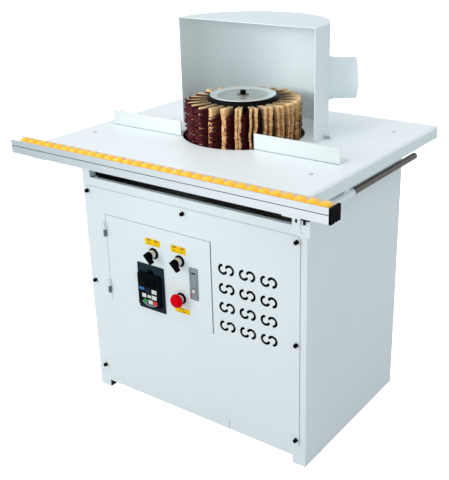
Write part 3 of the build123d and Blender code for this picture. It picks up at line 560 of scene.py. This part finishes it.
# The third colour is the painted shade at the strands' roots.
bristle_tan = brush_finish(
    "bristle_tan", screen(255, 224, 166), screen(202, 114, 46), screen(52, 24, 10), (0.5, 0.7)
)
maroon_cloth = cloth_finish("maroon_cloth", screen(80, 22, 30), screen(52, 12, 20), screen(102, 38, 42))


# CAD nodes that keep their own shape
NODE_FINISHES = {
    table_paint_lit_with_skirt_shade: ("table_top",),
    fence_paint_shaded: ("work_fences",),
    white_paint: ("dust_hood", "guide_sleeves", "rail_brackets", "electrical_door"),
    cabinet_paint_with_inner_shade: ("cabinet_body",),
    panel_paint_with_inner_shade: ("front_panel",),
    hinge_steel: ("hinge_pins",),
    hub_black: ("brush_hub",),
    black_steel: ("rail_end_cap",),
    latch_metal: ("latch_plate", "latch_handle", "lock_button"),
    zinc_metal: ("motor_deck",),
    chromed_steel: ("slide_rods",),
    rail_metal: ("rail_profile",),
    flange_steel: ("clamp_flange",),
    bright_steel: ("motor_shaft",),
    cast_iron: ("drive_motor", "spindle_bearing"),
    yellow_plastic: tuple(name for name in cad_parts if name.startswith("rail_wheel_")),
}
for finish, names in NODE_FINISHES.items():
    for name in names:
        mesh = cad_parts[name].data
        mesh.materials.clear()
        mesh.materials.append(finish)


# Fasteners

WASHER_TALL = 1.6


def flat_washer(shape, place, radius):
    """A plain washer lying on its place, with its upper edge broken."""
    outline = [(0.0, 0.0), (radius, 0.0), (radius, 1.2), (radius - 0.4, WASHER_TALL), (0.0, WASHER_TALL)]
    turned(shape, outline, place, 32)


def make_fasteners():
    """Panel screws on their washers, countersunk table screws and hood bolts."""
    low_row, middle_row, high_row = (83.0, 385.0, 681.5)
    screw_places = [(366.0, z) for z in (low_row, middle_row, high_row)]
    screw_places += [(-363.0, low_row), (-374.5, middle_row), (-374.5, high_row), (-6.5, high_row)]
    head_outline = [
        (0.0, WASHER_TALL), (5.7, WASHER_TALL), (5.7, 9.0), (5.0, 10.0), (2.8, 10.0), (2.8, 5.5), (0.0, 5.5),
    ]
    heads = bmesh.new()
    washers = bmesh.new()
    for x, z in screw_places:
        place = on_front(x, z)
        flat_washer(washers, place, 7.2)
        turned(heads, head_outline, place, 24)
    finish_piece(heads, "panel_screws", black_steel, "cabinet")
    finish_piece(washers, "panel_washers", collar_metal, "cabinet")

    countersunk_outline = [(0.0, -0.5), (2.4, -0.5), (2.4, 0.4), (5.2, 0.5), (6.0, 0.0), (0.0, -1.0)]
    countersunk = bmesh.new()
    for x in (-383.0, 370.0):
        for y in (-206.0, 263.0):
            turned(countersunk, countersunk_outline, on_table(x, y), 24)
    finish_piece(countersunk, "table_screws", zinc_metal, "cabinet")

    tab_top = TABLE_TOP + 3.0
    hood_bolts = bmesh.new()
    for x, y in ((-244.6, 91.2), (244.6, 91.2), (0.0, 297.0)):
        place = on_table(x, y, tab_top)
        flat_washer(hood_bolts, place, 8.0)
        six_sided(hood_bolts, place @ Matrix.Translation((0.0, 0.0, WASHER_TALL)), 13.0, 5.3)
    finish_piece(hood_bolts, "hood_bolts", zinc_metal, "cabinet")


def make_seams():
    """Grey beads at the fences' feet as a painted shadow line, the joint under the panel, the door's sill and
    the strip under the back.
    """
    fence_front = -103.0
    bead_wide = 1.6
    bead_tall = 1.4
    seams = bmesh.new()
    # The beads paint the shadow line where the fences meet the table.
    for left, right in ((-401.0, -136.0), (125.0, 393.0)):
        low = (left, fence_front - bead_wide, TABLE_TOP)
        block(seams, low, (right, fence_front, TABLE_TOP + bead_tall), edge=0.4)
    block(seams, (132.0, -262.9, 29.0), (133.4, -262.5, 60.0), edge=0.1)
    finish_piece(seams, "seams_and_shadow_beads", seam_and_shadow_grey, "cabinet")
    sill = bmesh.new()
    block(sill, (-311.0, PANEL_FRONT + 0.9, 332.0), (84.0, PANEL_FRONT + 10.0, 334.2), edge=0.1)
    finish_piece(sill, "door_sill", white_paint, "cabinet")
    # The strip lies within the cabinet's painted shade mask, so it is painted dark grey all over.
    plinth = bmesh.new()
    block(plinth, (-392.0, 269.0, 0.5), (392.0, 271.5, 27.0), edge=0.3)
    finish_piece(plinth, "back_plinth", cabinet_paint_with_inner_shade, "cabinet")


def make_rail_block_with_shade():
    """Black block with its stud on the right rail bracket, partly a dark stand-in for the shadow under the
    rail, and the end of a slotted bolt.
    """
    bracket_face = -351.0
    clamp = bmesh.new()
    # The black block is partly painted shade under the rail.
    block(clamp, (427.0, -353.5, 783.5), (454.5, bracket_face, 803.5), edge=0.5)
    stud = Matrix.Translation((441.0, -354.0, 0.0))
    turned(clamp, [(0.0, 774.0), (2.6, 774.0), (3.0, 774.6), (3.0, 790.0)], stud, 24)
    block(clamp, (414.0, -351.8, 774.0), (419.5, bracket_face, 785.0), edge=0.35)
    finish_piece(clamp, "rail_block_with_shade", black_steel, "rail")


# Door: switches, stop button and labels

def make_switches():
    """Rings, collars and bodies of the two selectors and the stop button."""
    rings = bmesh.new()
    collars = bmesh.new()
    backs = bmesh.new()
    places = [on_front(x, SELECTOR_Z) for _, x in SELECTORS] + [on_front(STOP_X, STOP_Z)]
    for place, tall in zip(places, (COLLAR_RISE, COLLAR_RISE, SWITCH_RISE)):
        turned(rings, [(13.2, 0.0), (17.5, 0.0), (17.5, 2.0), (16.5, 3.0), (13.2, 3.0), (13.2, 0.0)], place)
        turned(
            collars,
            [
                (10.5, 0.0), (13.4, 0.0), (13.4, tall - 2.4), (13.0, tall - 2.0), (13.0, tall - 0.8),
                (12.2, tall), (10.5, tall), (10.5, 0.0),
            ],
            place,
        )
        turned(
            backs,
            [
                (0.0, 5.0), (10.4, 5.0), (10.4, -2.0), (16.0, -2.0), (16.0, -8.0), (10.8, -8.0),
                (10.8, -12.0), (0.0, -12.0),
            ],
            place,
        )
        block(backs, (-15.0, -20.0, -44.0), (15.0, 20.0, -12.0), place, 1.5)
        for side in (-1, 1):
            block(backs, (side * 8.0 - 4.0, -22.0, -40.0), (side * 8.0 + 4.0, 22.0, -30.0), place, 1.0)
    ring_piece = finish_piece(rings, "switch_rings", black_plastic, "door")
    finish_piece(collars, "switch_collars", collar_metal, "door")
    finish_piece(backs, "switch_backs", black_plastic, "door")
    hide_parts("switch_bezels")


def make_selector_knobs():
    """Round bases with a blocky lever, long towards its lower right end."""
    for side, x in SELECTORS:
        node = "selector_knob_" + side
        knob = bmesh.new()
        place = on_front(x, SELECTOR_Z, SWITCH_RISE + 0.5)
        turned(
            knob,
            [
                (0.0, -6.0), (9.8, -6.0), (9.8, 6.0), (12.2, 6.0), (12.6, 6.6), (12.6, 9.0), (12.0, 10.4),
                (10.6, 11.4), (8.0, 11.8), (0.0, 12.0),
            ],
            place,
        )
        lever = place @ Matrix.Rotation(math.radians(SELECTOR_TURN), 4, "Z")
        middle = lever @ Matrix.Translation((7.0, 0.0, 14.0)) @ Matrix.Diagonal((36.0, 11.5, 12.0, 1.0))
        corners = bmesh.ops.create_cube(knob, size=1.0, matrix=middle)["verts"]
        to_lever = lever.inverted()
        wide_end = [corner for corner in corners if (to_lever @ corner.co).x < 0.0]
        bmesh.ops.scale(knob, vec=(1.0, 1.65, 1.0), space=to_lever, verts=wide_end)
        round_edges(knob, corners, 1.6, 3)
        piece = finish_piece(knob, "selector_lever_" + side, black_plastic, node)
        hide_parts(node)
        mark = bmesh.new()
        block(mark, (13.0, -0.9, 19.8), (22.0, 0.9, 20.0), lever, 0.08)
        finish_piece(mark, "selector_mark_" + side, key_white, node)


def make_stop_button():
    """Red mushroom head on its stem."""
    head = bmesh.new()
    place = on_front(STOP_X, STOP_Z, SWITCH_RISE + 5.5)
    turned(
        head,
        [
            (0.0, -5.0), (9.5, -5.0), (9.5, 0.0), (17.5, 0.0), (20.2, 1.2), (21.0, 3.6), (20.7, 7.0),
            (19.0, 11.0), (15.5, 14.4), (10.5, 16.4), (5.0, 17.0), (0.0, 17.0),
        ],
        place, 56,
    )
    piece = finish_piece(head, "stop_mushroom", red_plastic, "estop_button", crease=50.0)
    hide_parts("estop_button")


def make_words(shape, text, tall, place):
    """Adds raised plain letters, centred on their place."""
    curve = bpy.data.curves.new("letters", "FONT")
    curve.body = text
    curve.size = tall
    curve.align_x = "CENTER"
    curve.align_y = "CENTER"
    curve.extrude = 0.05
    curve.offset = 0.025 * tall
    holder = bpy.data.objects.new("letters", curve)
    mesh = bpy.data.meshes.new_from_object(holder)
    letters = bmesh.new()
    letters.from_mesh(mesh)
    bmesh.ops.transform(letters, matrix=place, verts=letters.verts)
    letters.to_mesh(mesh)
    letters.free()
    shape.from_mesh(mesh)
    bpy.data.meshes.remove(mesh)
    bpy.data.objects.remove(holder)
    bpy.data.curves.remove(curve)


def make_labels():
    """Three yellow plates with plain switch words."""
    plates = bmesh.new()
    letters = bmesh.new()
    # Each plate has its middle's place, its width, its height and its lines of words
    for x, z, wide, tall, lines in (
        (-126.5, 567.5, 57.0, 21.0, ("OFF     ON", "0         1")),
        (-30.5, 567.0, 55.0, 22.0, ("OFF     ON", "0         1")),
        (-25.5, 375.5, 55.0, 17.0, ("STOP", "0    OFF")),
    ):
        place = on_front(x, z)
        block(plates, (-wide / 2, -tall / 2, 0.0), (wide / 2, tall / 2, 0.8), place, 0.3)
        for line, text in enumerate(lines):
            drop = (0.25 - 0.5 * line) * tall
            make_words(letters, text, 0.42 * tall, place @ Matrix.Translation((0.0, drop, 0.85)))
    finish_piece(plates, "switch_labels", label_yellow, "door")
    finish_piece(letters, "label_letters", print_black, "door")


# Door: speed drive and latch

def make_drive():
    """Speed drive: bezel, ribbed body and a key unit with its notch, window, keys, dial and curved mark."""
    face = on_front(DRIVE_X, DRIVE_Z)
    body_half = 46.0
    housing = bmesh.new()
    block(housing, (-51.25, -74.0, 0.0), (51.25, 74.0, 3.0), face, 1.2)
    block(housing, (-body_half, -69.0, -74.5), (body_half, 69.0, 1.0), face, 2.0)
    for step in range(7):
        rib = -54.0 + 18.0 * step
        for side in (-body_half, body_half):
            block(housing, (side - 0.8, rib - 3.0, -66.0), (side + 0.8, rib + 3.0, -14.0), face, 0.4)
    housing_piece = finish_piece(housing, "drive_housing", drive_plastic, "door")
    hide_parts("inverter_drive")

    unit_half = 42.0
    unit_top = 47.0
    unit_front = 17.0
    unit = bmesh.new()
    block(unit, (-unit_half, -56.0, 2.0), (unit_half, unit_top, unit_front), face, 3.0, 3)
    finish_piece(unit, "drive_unit", unit_plastic, "door")

    notch = bmesh.new()
    turned(
        notch, [(0.0, 3.0), (13.0, 3.0), (13.0, 3.4), (12.4, 3.6), (0.0, 3.6)],
        face @ Matrix.Translation((0.0, unit_top, 0.0)),
    )
    bmesh.ops.bisect_plane(
        notch, geom=notch.verts[:] + notch.edges[:] + notch.faces[:],
        plane_co=face @ Vector((0.0, unit_top + 0.2, 0.0)), plane_no=(0.0, 0.0, -1.0), clear_outer=True,
    )
    bmesh.ops.holes_fill(notch, edges=notch.edges)
    finish_piece(notch, "drive_notch", black_plastic, "door")

    # Places on the unit's front are measured from its upper left corner, right and down
    corner = face @ Matrix.Translation((-unit_half, unit_top, unit_front))
    window = bmesh.new()
    block(window, (5.0, -40.0, -0.5), (79.0, -4.0, 0.5), corner, 0.4)
    finish_piece(window, "drive_window", window_black, "door")
    # Each key has its middle's place, its width and its height
    key_sets = {
        key_white: (
            "drive_keys_white",
            (
                (65.0, 50.0, 19.0, 13.0), (25.0, 69.0, 16.0, 13.0), (45.0, 69.0, 14.0, 9.0),
                (64.0, 69.0, 19.0, 13.0), (49.0, 87.0, 16.0, 13.0),
            ),
        ),
        key_blue: ("drive_key_blue", ((17.0, 48.0, 20.0, 8.0),)),
        key_green: ("drive_key_green", ((30.0, 87.0, 17.0, 13.0),)),
        key_red: ("drive_key_red", ((67.0, 87.0, 17.0, 13.0),)),
    }
    for finish, (name, keys) in key_sets.items():
        pads = bmesh.new()
        for right, down, wide, tall in keys:
            low = (right - wide / 2, -down - tall / 2, -0.5)
            high = (right + wide / 2, -down + tall / 2, 1.1)
            block(pads, low, high, corner, 0.7, 3)
        finish_piece(pads, name, finish, "door")
    dial = bmesh.new()
    turned(
        dial, [(0.0, 4.5), (7.2, 4.5), (8.0, 3.8), (8.6, 0.5), (10.2, 0.4), (10.2, 0.0)],
        corner @ Matrix.Translation((42.0, -51.0, 0.0)),
    )
    finish_piece(dial, "drive_dial", drive_plastic, "door")
    smile = bmesh.new()
    centre = corner @ Vector((46.0, -52.0, 0.3))
    end_face = ((18.0, -88.0, -0.3), (18.0, -88.0, 0.5), (15.6, -90.6, 0.5), (15.6, -90.6, -0.3))
    bar = [smile.verts.new(corner @ Vector(point)) for point in end_face]
    smile.faces.new(bar)
    bmesh.ops.spin(
        smile, geom=smile.faces[:] + smile.edges[:] + bar, cent=centre, axis=(0.0, -1.0, 0.0),
        angle=math.radians(76), steps=16,
    )
    bmesh.ops.holes_fill(smile, edges=smile.edges)
    finish_piece(smile, "drive_smile", key_grey, "door")


def make_latch_details():
    """Dark slot near the handle's top, and the key barrel, red mark, dark ring and keyway on the lock button;
    the slot, ring and keyway are black as painted shade in recesses.
    """
    handle_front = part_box("latch_handle")[0][1] / MILLIMETRE
    lock_low, lock_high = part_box("lock_button")
    lock_front = lock_low[1] / MILLIMETRE
    barrel_drop = 8.0
    lock_z = lock_high[2] / MILLIMETRE - barrel_drop
    slot_z = 507.0
    # The slot is a black block, as painted shade in the recess.
    slot = bmesh.new()
    place = on_front(LATCH_X, slot_z, PANEL_FRONT - handle_front)
    block(slot, (-7.0, -2.2, -1.0), (7.0, 2.2, 0.15), place, 0.1)
    finish_piece(slot, "latch_slot_shade", black_steel, "latch_handle")
    barrel = bmesh.new()
    place = on_front(LATCH_X, lock_z, PANEL_FRONT - lock_front)
    turned(
        barrel,
        [(0.0, 0.0), (6.2, 0.0), (6.2, 0.9), (5.6, 1.4), (4.6, 1.4), (4.2, 0.7), (0.0, 0.7)],
        place, 40,
    )
    finish_piece(barrel, "key_barrel", barrel_metal, "lock_button")
    mark = bmesh.new()
    block(mark, (-9.8, -22.0, 0.0), (-6.6, -8.0, 0.2), place, 0.05)
    finish_piece(mark, "lock_mark", key_red, "lock_button")
    # The ring round the barrel and the keyway are black, as painted shade in the gap and the keyhole.
    keyway = bmesh.new()
    turned(keyway, [(6.4, 0.0), (7.9, 0.0), (7.9, 0.4), (6.4, 0.4), (6.4, 0.0)], place, 40)
    block(keyway, (-0.7, -3.4, 0.3), (0.7, 3.4, 0.85), place, 0.1)
    finish_piece(keyway, "keyway", black_steel, "lock_button")


# Brush

STRIPS = 24
STRIP_TURN = 1.5
ROOT_RADIUS = 101.0
RIM_RADIUS = 171.5
BRUSH_LOW = 799.0
BRUSH_HIGH = 949.0
LEVELS = 60
COLUMNS = 3
CLOTH_ROOT = 7.6
# Each strip has a bristle row away from its cloth and one next to it, here with their places at the root
ROW_PLACES = {"far": -4.0, "near": 4.0}
# How late along its length each row comes out of its painted root shade; the far row stays shaded longer so
# the gaps read dark
ROW_SHADE_FADES = {"far": 2.3, "near": 1.0}


class Strip:
    """How one strip leans and flares. Its two bristle rows and the cloth beside them share it."""

    def __init__(self, number):
        chance = random.Random(100 + number)
        turn = math.radians(STRIP_TURN) + math.tau * number / STRIPS
        # Local X runs outwards along the strip, local Y to its cloth side and local Z up
        self.place = Matrix.Translation((0.0, SPINDLE_Y, 0.0)) @ Matrix.Rotation(turn, 4, "Z")
        # Use has bent the strips unevenly: which way one is pulled, and how far to the front or back it is
        pull = math.sin(turn + math.radians(51.0))
        front = max(math.cos(turn + math.radians(54.0)), 0.0)
        back = min(max(2.5 * math.sin(turn - math.radians(5.0)), 0.0), 1.0)
        far_lean = min(-5.5 - 12.0 * pull * (1.0 - 0.8 * back) + chance.uniform(-1.5, 1.5), 4.0)
        self.lean = {"far": far_lean, "near": chance.uniform(-3.0, 1.0)}
        self.flare = {"far": chance.uniform(5.5, 7.5), "near": chance.uniform(5.5, 8.0)}
        self.phase = chance.uniform(0.0, math.tau)
        self.wrap = min(max((-pull - 0.55) / 0.25, 0.0), 1.0)
        self.lift = chance.uniform(0.5, 3.0) + 7.0 * front ** 2 - 5.0 * self.wrap
        sag = chance.uniform(3.0, 7.0) + 8.0 * front ** 2 + 22.0 * (front ** 2 - front ** 8)
        self.sag = sag * (1.0 - 0.85 * self.wrap)
        self.bulge = chance.uniform(6.0, 9.0) + 9.0 * front ** 4
        # How far the top levels are spared the painted root shade; strips at the front keep lighter tops
        self.top = 0.3 + 0.32 * front
        self.wave = chance.uniform(0.8, 2.4) * (1.0 - 0.7 * self.wrap)
        self.chance = chance

    def middle(self, row, reach, level):
        """How far a row's middle lies to the side at a reach from root (0) to rim (1)."""
        slow = math.sin(self.phase + level / 27.0)
        quick = math.sin(2.0 * self.phase + level / 8.0)
        ripple = self.wave * (slow + 0.5 * quick)
        return ROW_PLACES[row] + (self.lean[row] + ripple) * reach ** 1.6

    def half(self, row, reach):
        """Half a row's width at a reach."""
        return 2.2 + (self.flare[row] / 2 - 2.2) * reach ** 1.2


def make_strand():
    """One square strand of unit length, in three lengths."""
    strand = bmesh.new()
    bmesh.ops.create_cube(strand, size=1.0, matrix=Matrix.Translation((0.5, 0.0, 0.0)))
    long_edges = [edge for edge in strand.edges if abs(edge.verts[0].co.x - edge.verts[1].co.x) > 0.5]
    bmesh.ops.subdivide_edges(strand, edges=long_edges, cuts=2)
    mesh = bpy.data.meshes.new("strand")
    strand.to_mesh(mesh)
    strand.free()
    return mesh


def make_bristles(strips, row):
    """One row of every strip: strands side by side and level above level, fanned towards the rim."""
    strand = make_strand()
    bundle = bmesh.new()
    tone = bundle.verts.layers.float.new("tone")
    reach_layer = bundle.verts.layers.float.new("reach")
    pitch = (BRUSH_HIGH - BRUSH_LOW) / LEVELS
    for strip in strips:
        chance = strip.chance
        for number in range(LEVELS):
            level = BRUSH_LOW + (number + 0.5) * pitch
            high = (number + 0.5) / LEVELS
            splay = strip.lift * high ** 5 - 5.0 * (1.0 - high) ** 5
            trimmed = 3.2 + 5.0 * strip.wrap + 1.2 * math.sin(strip.phase + level / 13.0)
            for column in range(COLUMNS):
                band = 0.45 + 0.15 * math.sin(strip.phase + level / 4.0) + chance.uniform(-0.45, 0.45)
                # Random bands of tone, with the top levels painted lighter as painted light on the lit top
                # face
                strand_tone = min(max(band, 0.0), 1.0) * (1.0 - 0.75 * high ** 10)
                length = RIM_RADIUS - trimmed - chance.uniform(0.0, 1.6) - ROOT_RADIUS
                side = ((column + 0.5) / COLUMNS * 2 - 1) * 0.98
                stray = chance.uniform(-0.9, 0.9)
                rise = splay + chance.uniform(-0.9, 0.9)
                first = len(bundle.verts)
                bundle.from_mesh(strand)
                bundle.verts.ensure_lookup_table()
                for corner in bundle.verts[first:]:
                    reach = corner.co.x
                    narrow = 0.8 if reach > 0.99 else 1.0
                    half = strip.half(row, reach)
                    wide = 2 * half / COLUMNS * 1.1 * narrow
                    tall = pitch * (1.1 + 0.5 * high ** 4 * reach) * narrow
                    sideways = strip.middle(row, reach, level) + side * half + stray * reach ** 2
                    corner[tone] = strand_tone
                    # The painted root shade follows the reach, and the top levels are spared it
                    corner[reach_layer] = max(reach ** ROW_SHADE_FADES[row], strip.top * high ** 8)
                    corner.co = strip.place @ Vector((
                        ROOT_RADIUS + reach * length,
                        sideways + corner.co.y * wide,
                        level + rise * reach ** 1.3 + corner.co.z * tall,
                    ))
    bpy.data.meshes.remove(strand)
    piece = finish_piece(bundle, "bristle_row_" + row, bristle_tan, "brush", crease=60.0)
    if row == "near":
        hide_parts("brush_bristles")


def make_cloth(strips):
    """Slashed cloth beside each near row: fingers that part, sag, curl and fray towards the rim."""
    sheet = bmesh.new()
    reach_layer = sheet.verts.layers.float.new("reach")
    for strip in strips:
        chance = strip.chance
        cuts = [BRUSH_LOW + 0.5]
        while cuts[-1] < BRUSH_HIGH - 22.0:
            cuts.append(cuts[-1] + chance.uniform(11.0, 20.0))
        cuts.append(BRUSH_HIGH - 0.5)
        for low, high in zip(cuts, cuts[1:]):
            level = (low + high) / 2
            length = RIM_RADIUS - chance.uniform(0.0, 2.5) - ROOT_RADIUS
            curl = chance.uniform(-3.5, 2.0) * (1.0 - strip.wrap)
            slit = chance.uniform(0.0, 0.5) + (chance.uniform(1.5, 3.5) if chance.random() < 0.35 else 0.0)
            slant = chance.uniform(-1.2, 1.2)
            twist = chance.uniform(-2.0, 2.0)
            made = bmesh.ops.create_grid(sheet, x_segments=12, y_segments=5, size=0.5)["verts"]
            for corner in made:
                reach = corner.co.x + 0.5
                side = corner.co.y
                parted = max(reach - 0.55, 0.0) / 0.45
                rounding = (2.5 - strip.wrap) * (max(abs(side) - 0.2, 0.0) / 0.3) ** 2 * reach ** 12
                fray = chance.uniform(-0.8, 0.8) if reach > 0.99 else 0.0
                height = level + side * (high - low)
                droop = strip.sag * ((height - BRUSH_LOW) / (BRUSH_HIGH - BRUSH_LOW)) ** 5 * reach
                beside = strip.middle("near", reach, level) + strip.half("near", reach) + 0.9
                bulge = strip.bulge * math.sin(math.pi * reach ** 0.6)
                outwards = CLOTH_ROOT + (beside - CLOTH_ROOT) * reach + bulge
                folded = 20.0 * strip.wrap * max(reach - 0.92, 0.0) / 0.08
                corner[reach_layer] = reach
                corner.co = strip.place @ Vector((
                    ROOT_RADIUS + reach * length - rounding + fray,
                    outwards + (curl + twist * side) * reach ** 3 - folded,
                    height - side * 2 * slit * parted + slant * parted ** 2 - droop,
                ))
    piece = finish_piece(sheet, "cloth_fingers", maroon_cloth, "brush", crease=60.0)
    solidify = piece.modifiers.new("thickness", "SOLIDIFY")
    solidify.thickness = 1.0 * MILLIMETRE
    solidify.offset = 0.0
    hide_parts("abrasive_strips")


def make_clamp_screw():
    """Cap screw with its socket, and the washer under it."""
    washer_foot = 959.5
    place = on_table(0.0, SPINDLE_Y, washer_foot)
    washer = bmesh.new()
    turned(washer, [(0.0, 0.0), (17.0, 0.0), (17.0, 1.9), (16.4, 2.5), (0.0, 2.5)], place)
    washer_piece = finish_piece(washer, "clamp_washer", washer_steel, "brush")
    screw = bmesh.new()
    turned(
        screw,
        [
            (0.0, -20.0), (5.0, -20.0), (5.0, 2.5), (8.5, 2.5), (8.5, 13.0), (7.6, 14.0), (5.0, 14.0),
            (5.0, 7.0), (0.0, 7.0),
        ],
        place,
    )
    finish_piece(screw, "clamp_screw", black_steel, "brush")
    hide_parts("clamp_bolt")


make_fasteners()
make_seams()
make_rail_block_with_shade()
make_switches()
make_selector_knobs()
make_stop_button()
make_labels()
make_drive()
make_latch_details()
brush_strips = [Strip(number) for number in range(STRIPS)]
for row in ROW_PLACES:
    make_bristles(brush_strips, row)
make_cloth(brush_strips)
make_clamp_screw()


# Studio

def make_floor():
    """Pale plain floor: white to the camera, with painted shade under the machine.

    To other rays it is darkest on the left, grey around the machine and white in front.
    """
    ground = bmesh.new()
    bmesh.ops.create_grid(ground, x_segments=1, y_segments=1, size=60.0)
    mesh = bpy.data.meshes.new("studio_floor")
    ground.to_mesh(mesh)
    ground.free()
    finish, tree, shader = new_finish("floor_white", {"Emission Strength": 1.0})
    coat = place_effect(tree, COAT, {"Cloud Scale": 0.4})
    seen = add_mix(tree, coat["Cloud"], screen(253, 253, 253), screen(251, 252, 252))
    path = tree.nodes.new("ShaderNodeLightPath")
    split = split_place(tree)
    rightwards = add_range(tree, split["X"], -1.9, -1.3)
    forwards = add_range(tree, split["Y"], -1.2, -1.8)
    bounce = add_mix(tree, forwards, screen(194, 195, 197), screen(252, 252, 252))
    bounce = add_mix(tree, rightwards, screen(84, 114, 122), bounce)
    colour = add_mix(tree, path.outputs["Is Camera Ray"], bounce, seen)
    glow = add_mix(tree, path.outputs["Is Camera Ray"], screen(90, 90, 90), screen(255, 255, 255))
    # Painted shade: the floor under the machine is dark and does not glow, so the vents read black.
    under = ({"Half Width": 0.36, "Front": -0.05, "Back": 0.27},)
    colour = add_shade(tree, colour, under, screen(20, 21, 22))
    tree.links.new(add_shade(tree, glow, under, screen(0, 0, 0)), shader.inputs["Emission Color"])
    tree.links.new(colour, shader.inputs["Base Color"])
    add_roughness(tree, shader, coat["Cloud"], (0.8, 0.9))
    mesh.materials.append(finish)
    floor = bpy.data.objects.new("studio_floor", mesh)
    bpy.context.scene.collection.objects.link(floor)


def aim(holder, place, target):
    """Puts a lamp at a place, looking at a point."""
    holder.location = place
    holder.rotation_euler = (Vector(target) - Vector(place)).to_track_quat("-Z", "Y").to_euler()
    bpy.context.scene.collection.objects.link(holder)


def make_studio():
    """Pale blue surroundings that show white to the camera, and three lamps.

    A soft key lamp stands on the left, a broad one is above and a narrow one points into the hood.
    """
    world = bpy.data.worlds.new("studio")
    world.use_nodes = True
    sky = world.node_tree.nodes["Background"]
    path = world.node_tree.nodes.new("ShaderNodeLightPath")
    seen = add_mix(
        world.node_tree, path.outputs["Is Camera Ray"], (0.92, 0.985, 1.04, 1.0), (1.31, 1.31, 1.31, 1.0)
    )
    world.node_tree.links.new(seen, sky.inputs["Color"])
    sky.inputs["Strength"].default_value = 0.765
    bpy.context.scene.world = world
    bpy.context.scene.view_settings.view_transform = "Standard"
    key = bpy.data.lights.new("key", "AREA")
    key.shape = "SQUARE"
    key.size = 1.8
    key.energy = 53.0
    key.color = (1.0, 0.98, 0.94)
    aim(bpy.data.objects.new("key", key), (-2.8, -3.9, 1.8), (0.0, 0.0, 0.9))
    above = bpy.data.lights.new("above", "SUN")
    above.energy = 0.42
    above.angle = math.radians(60.0)
    above.color = (1.0, 0.98, 0.95)
    aim(bpy.data.objects.new("above", above), (-1.0, -1.4, 4.0), (0.0, 0.0, 0.0))
    hood = bpy.data.lights.new("hood", "SPOT")
    hood.energy = 168.0
    hood.color = (0.93, 1.0, 1.07)
    hood.spot_size = math.radians(17.0)
    hood.spot_blend = 1.0
    hood.shadow_soft_size = 0.3
    aim(bpy.data.objects.new("hood", hood), (-0.6, -3.1, 1.75), (0.0, 0.1, 1.0))


def make_camera():
    """Camera at the photograph's viewing angle."""
    yaw = math.radians(35.4)
    pitch = math.radians(21.6)
    roll = math.radians(-1.0)
    forward = Vector((-math.sin(yaw) * math.cos(pitch), math.cos(yaw) * math.cos(pitch), -math.sin(pitch)))
    level = Vector((math.cos(yaw), math.sin(yaw), 0.0))
    up = level.cross(forward)
    across = math.cos(roll) * level + math.sin(roll) * up
    upward = math.cos(roll) * up - math.sin(roll) * level
    lens = bpy.data.cameras.new("camera")
    lens.lens = 61.6
    lens.sensor_width = 36.0
    lens.shift_x = -0.0544
    lens.shift_y = -0.0346
    holder = bpy.data.objects.new("camera", lens)
    turn = Matrix((across, upward, -forward)).transposed()
    eye = Vector((1.3756, -1.8861, 1.4894))
    holder.matrix_world = Matrix.Translation(eye) @ turn.to_4x4()
    bpy.context.scene.collection.objects.link(holder)
    bpy.context.scene.camera = holder


make_floor()
make_studio()
make_camera()
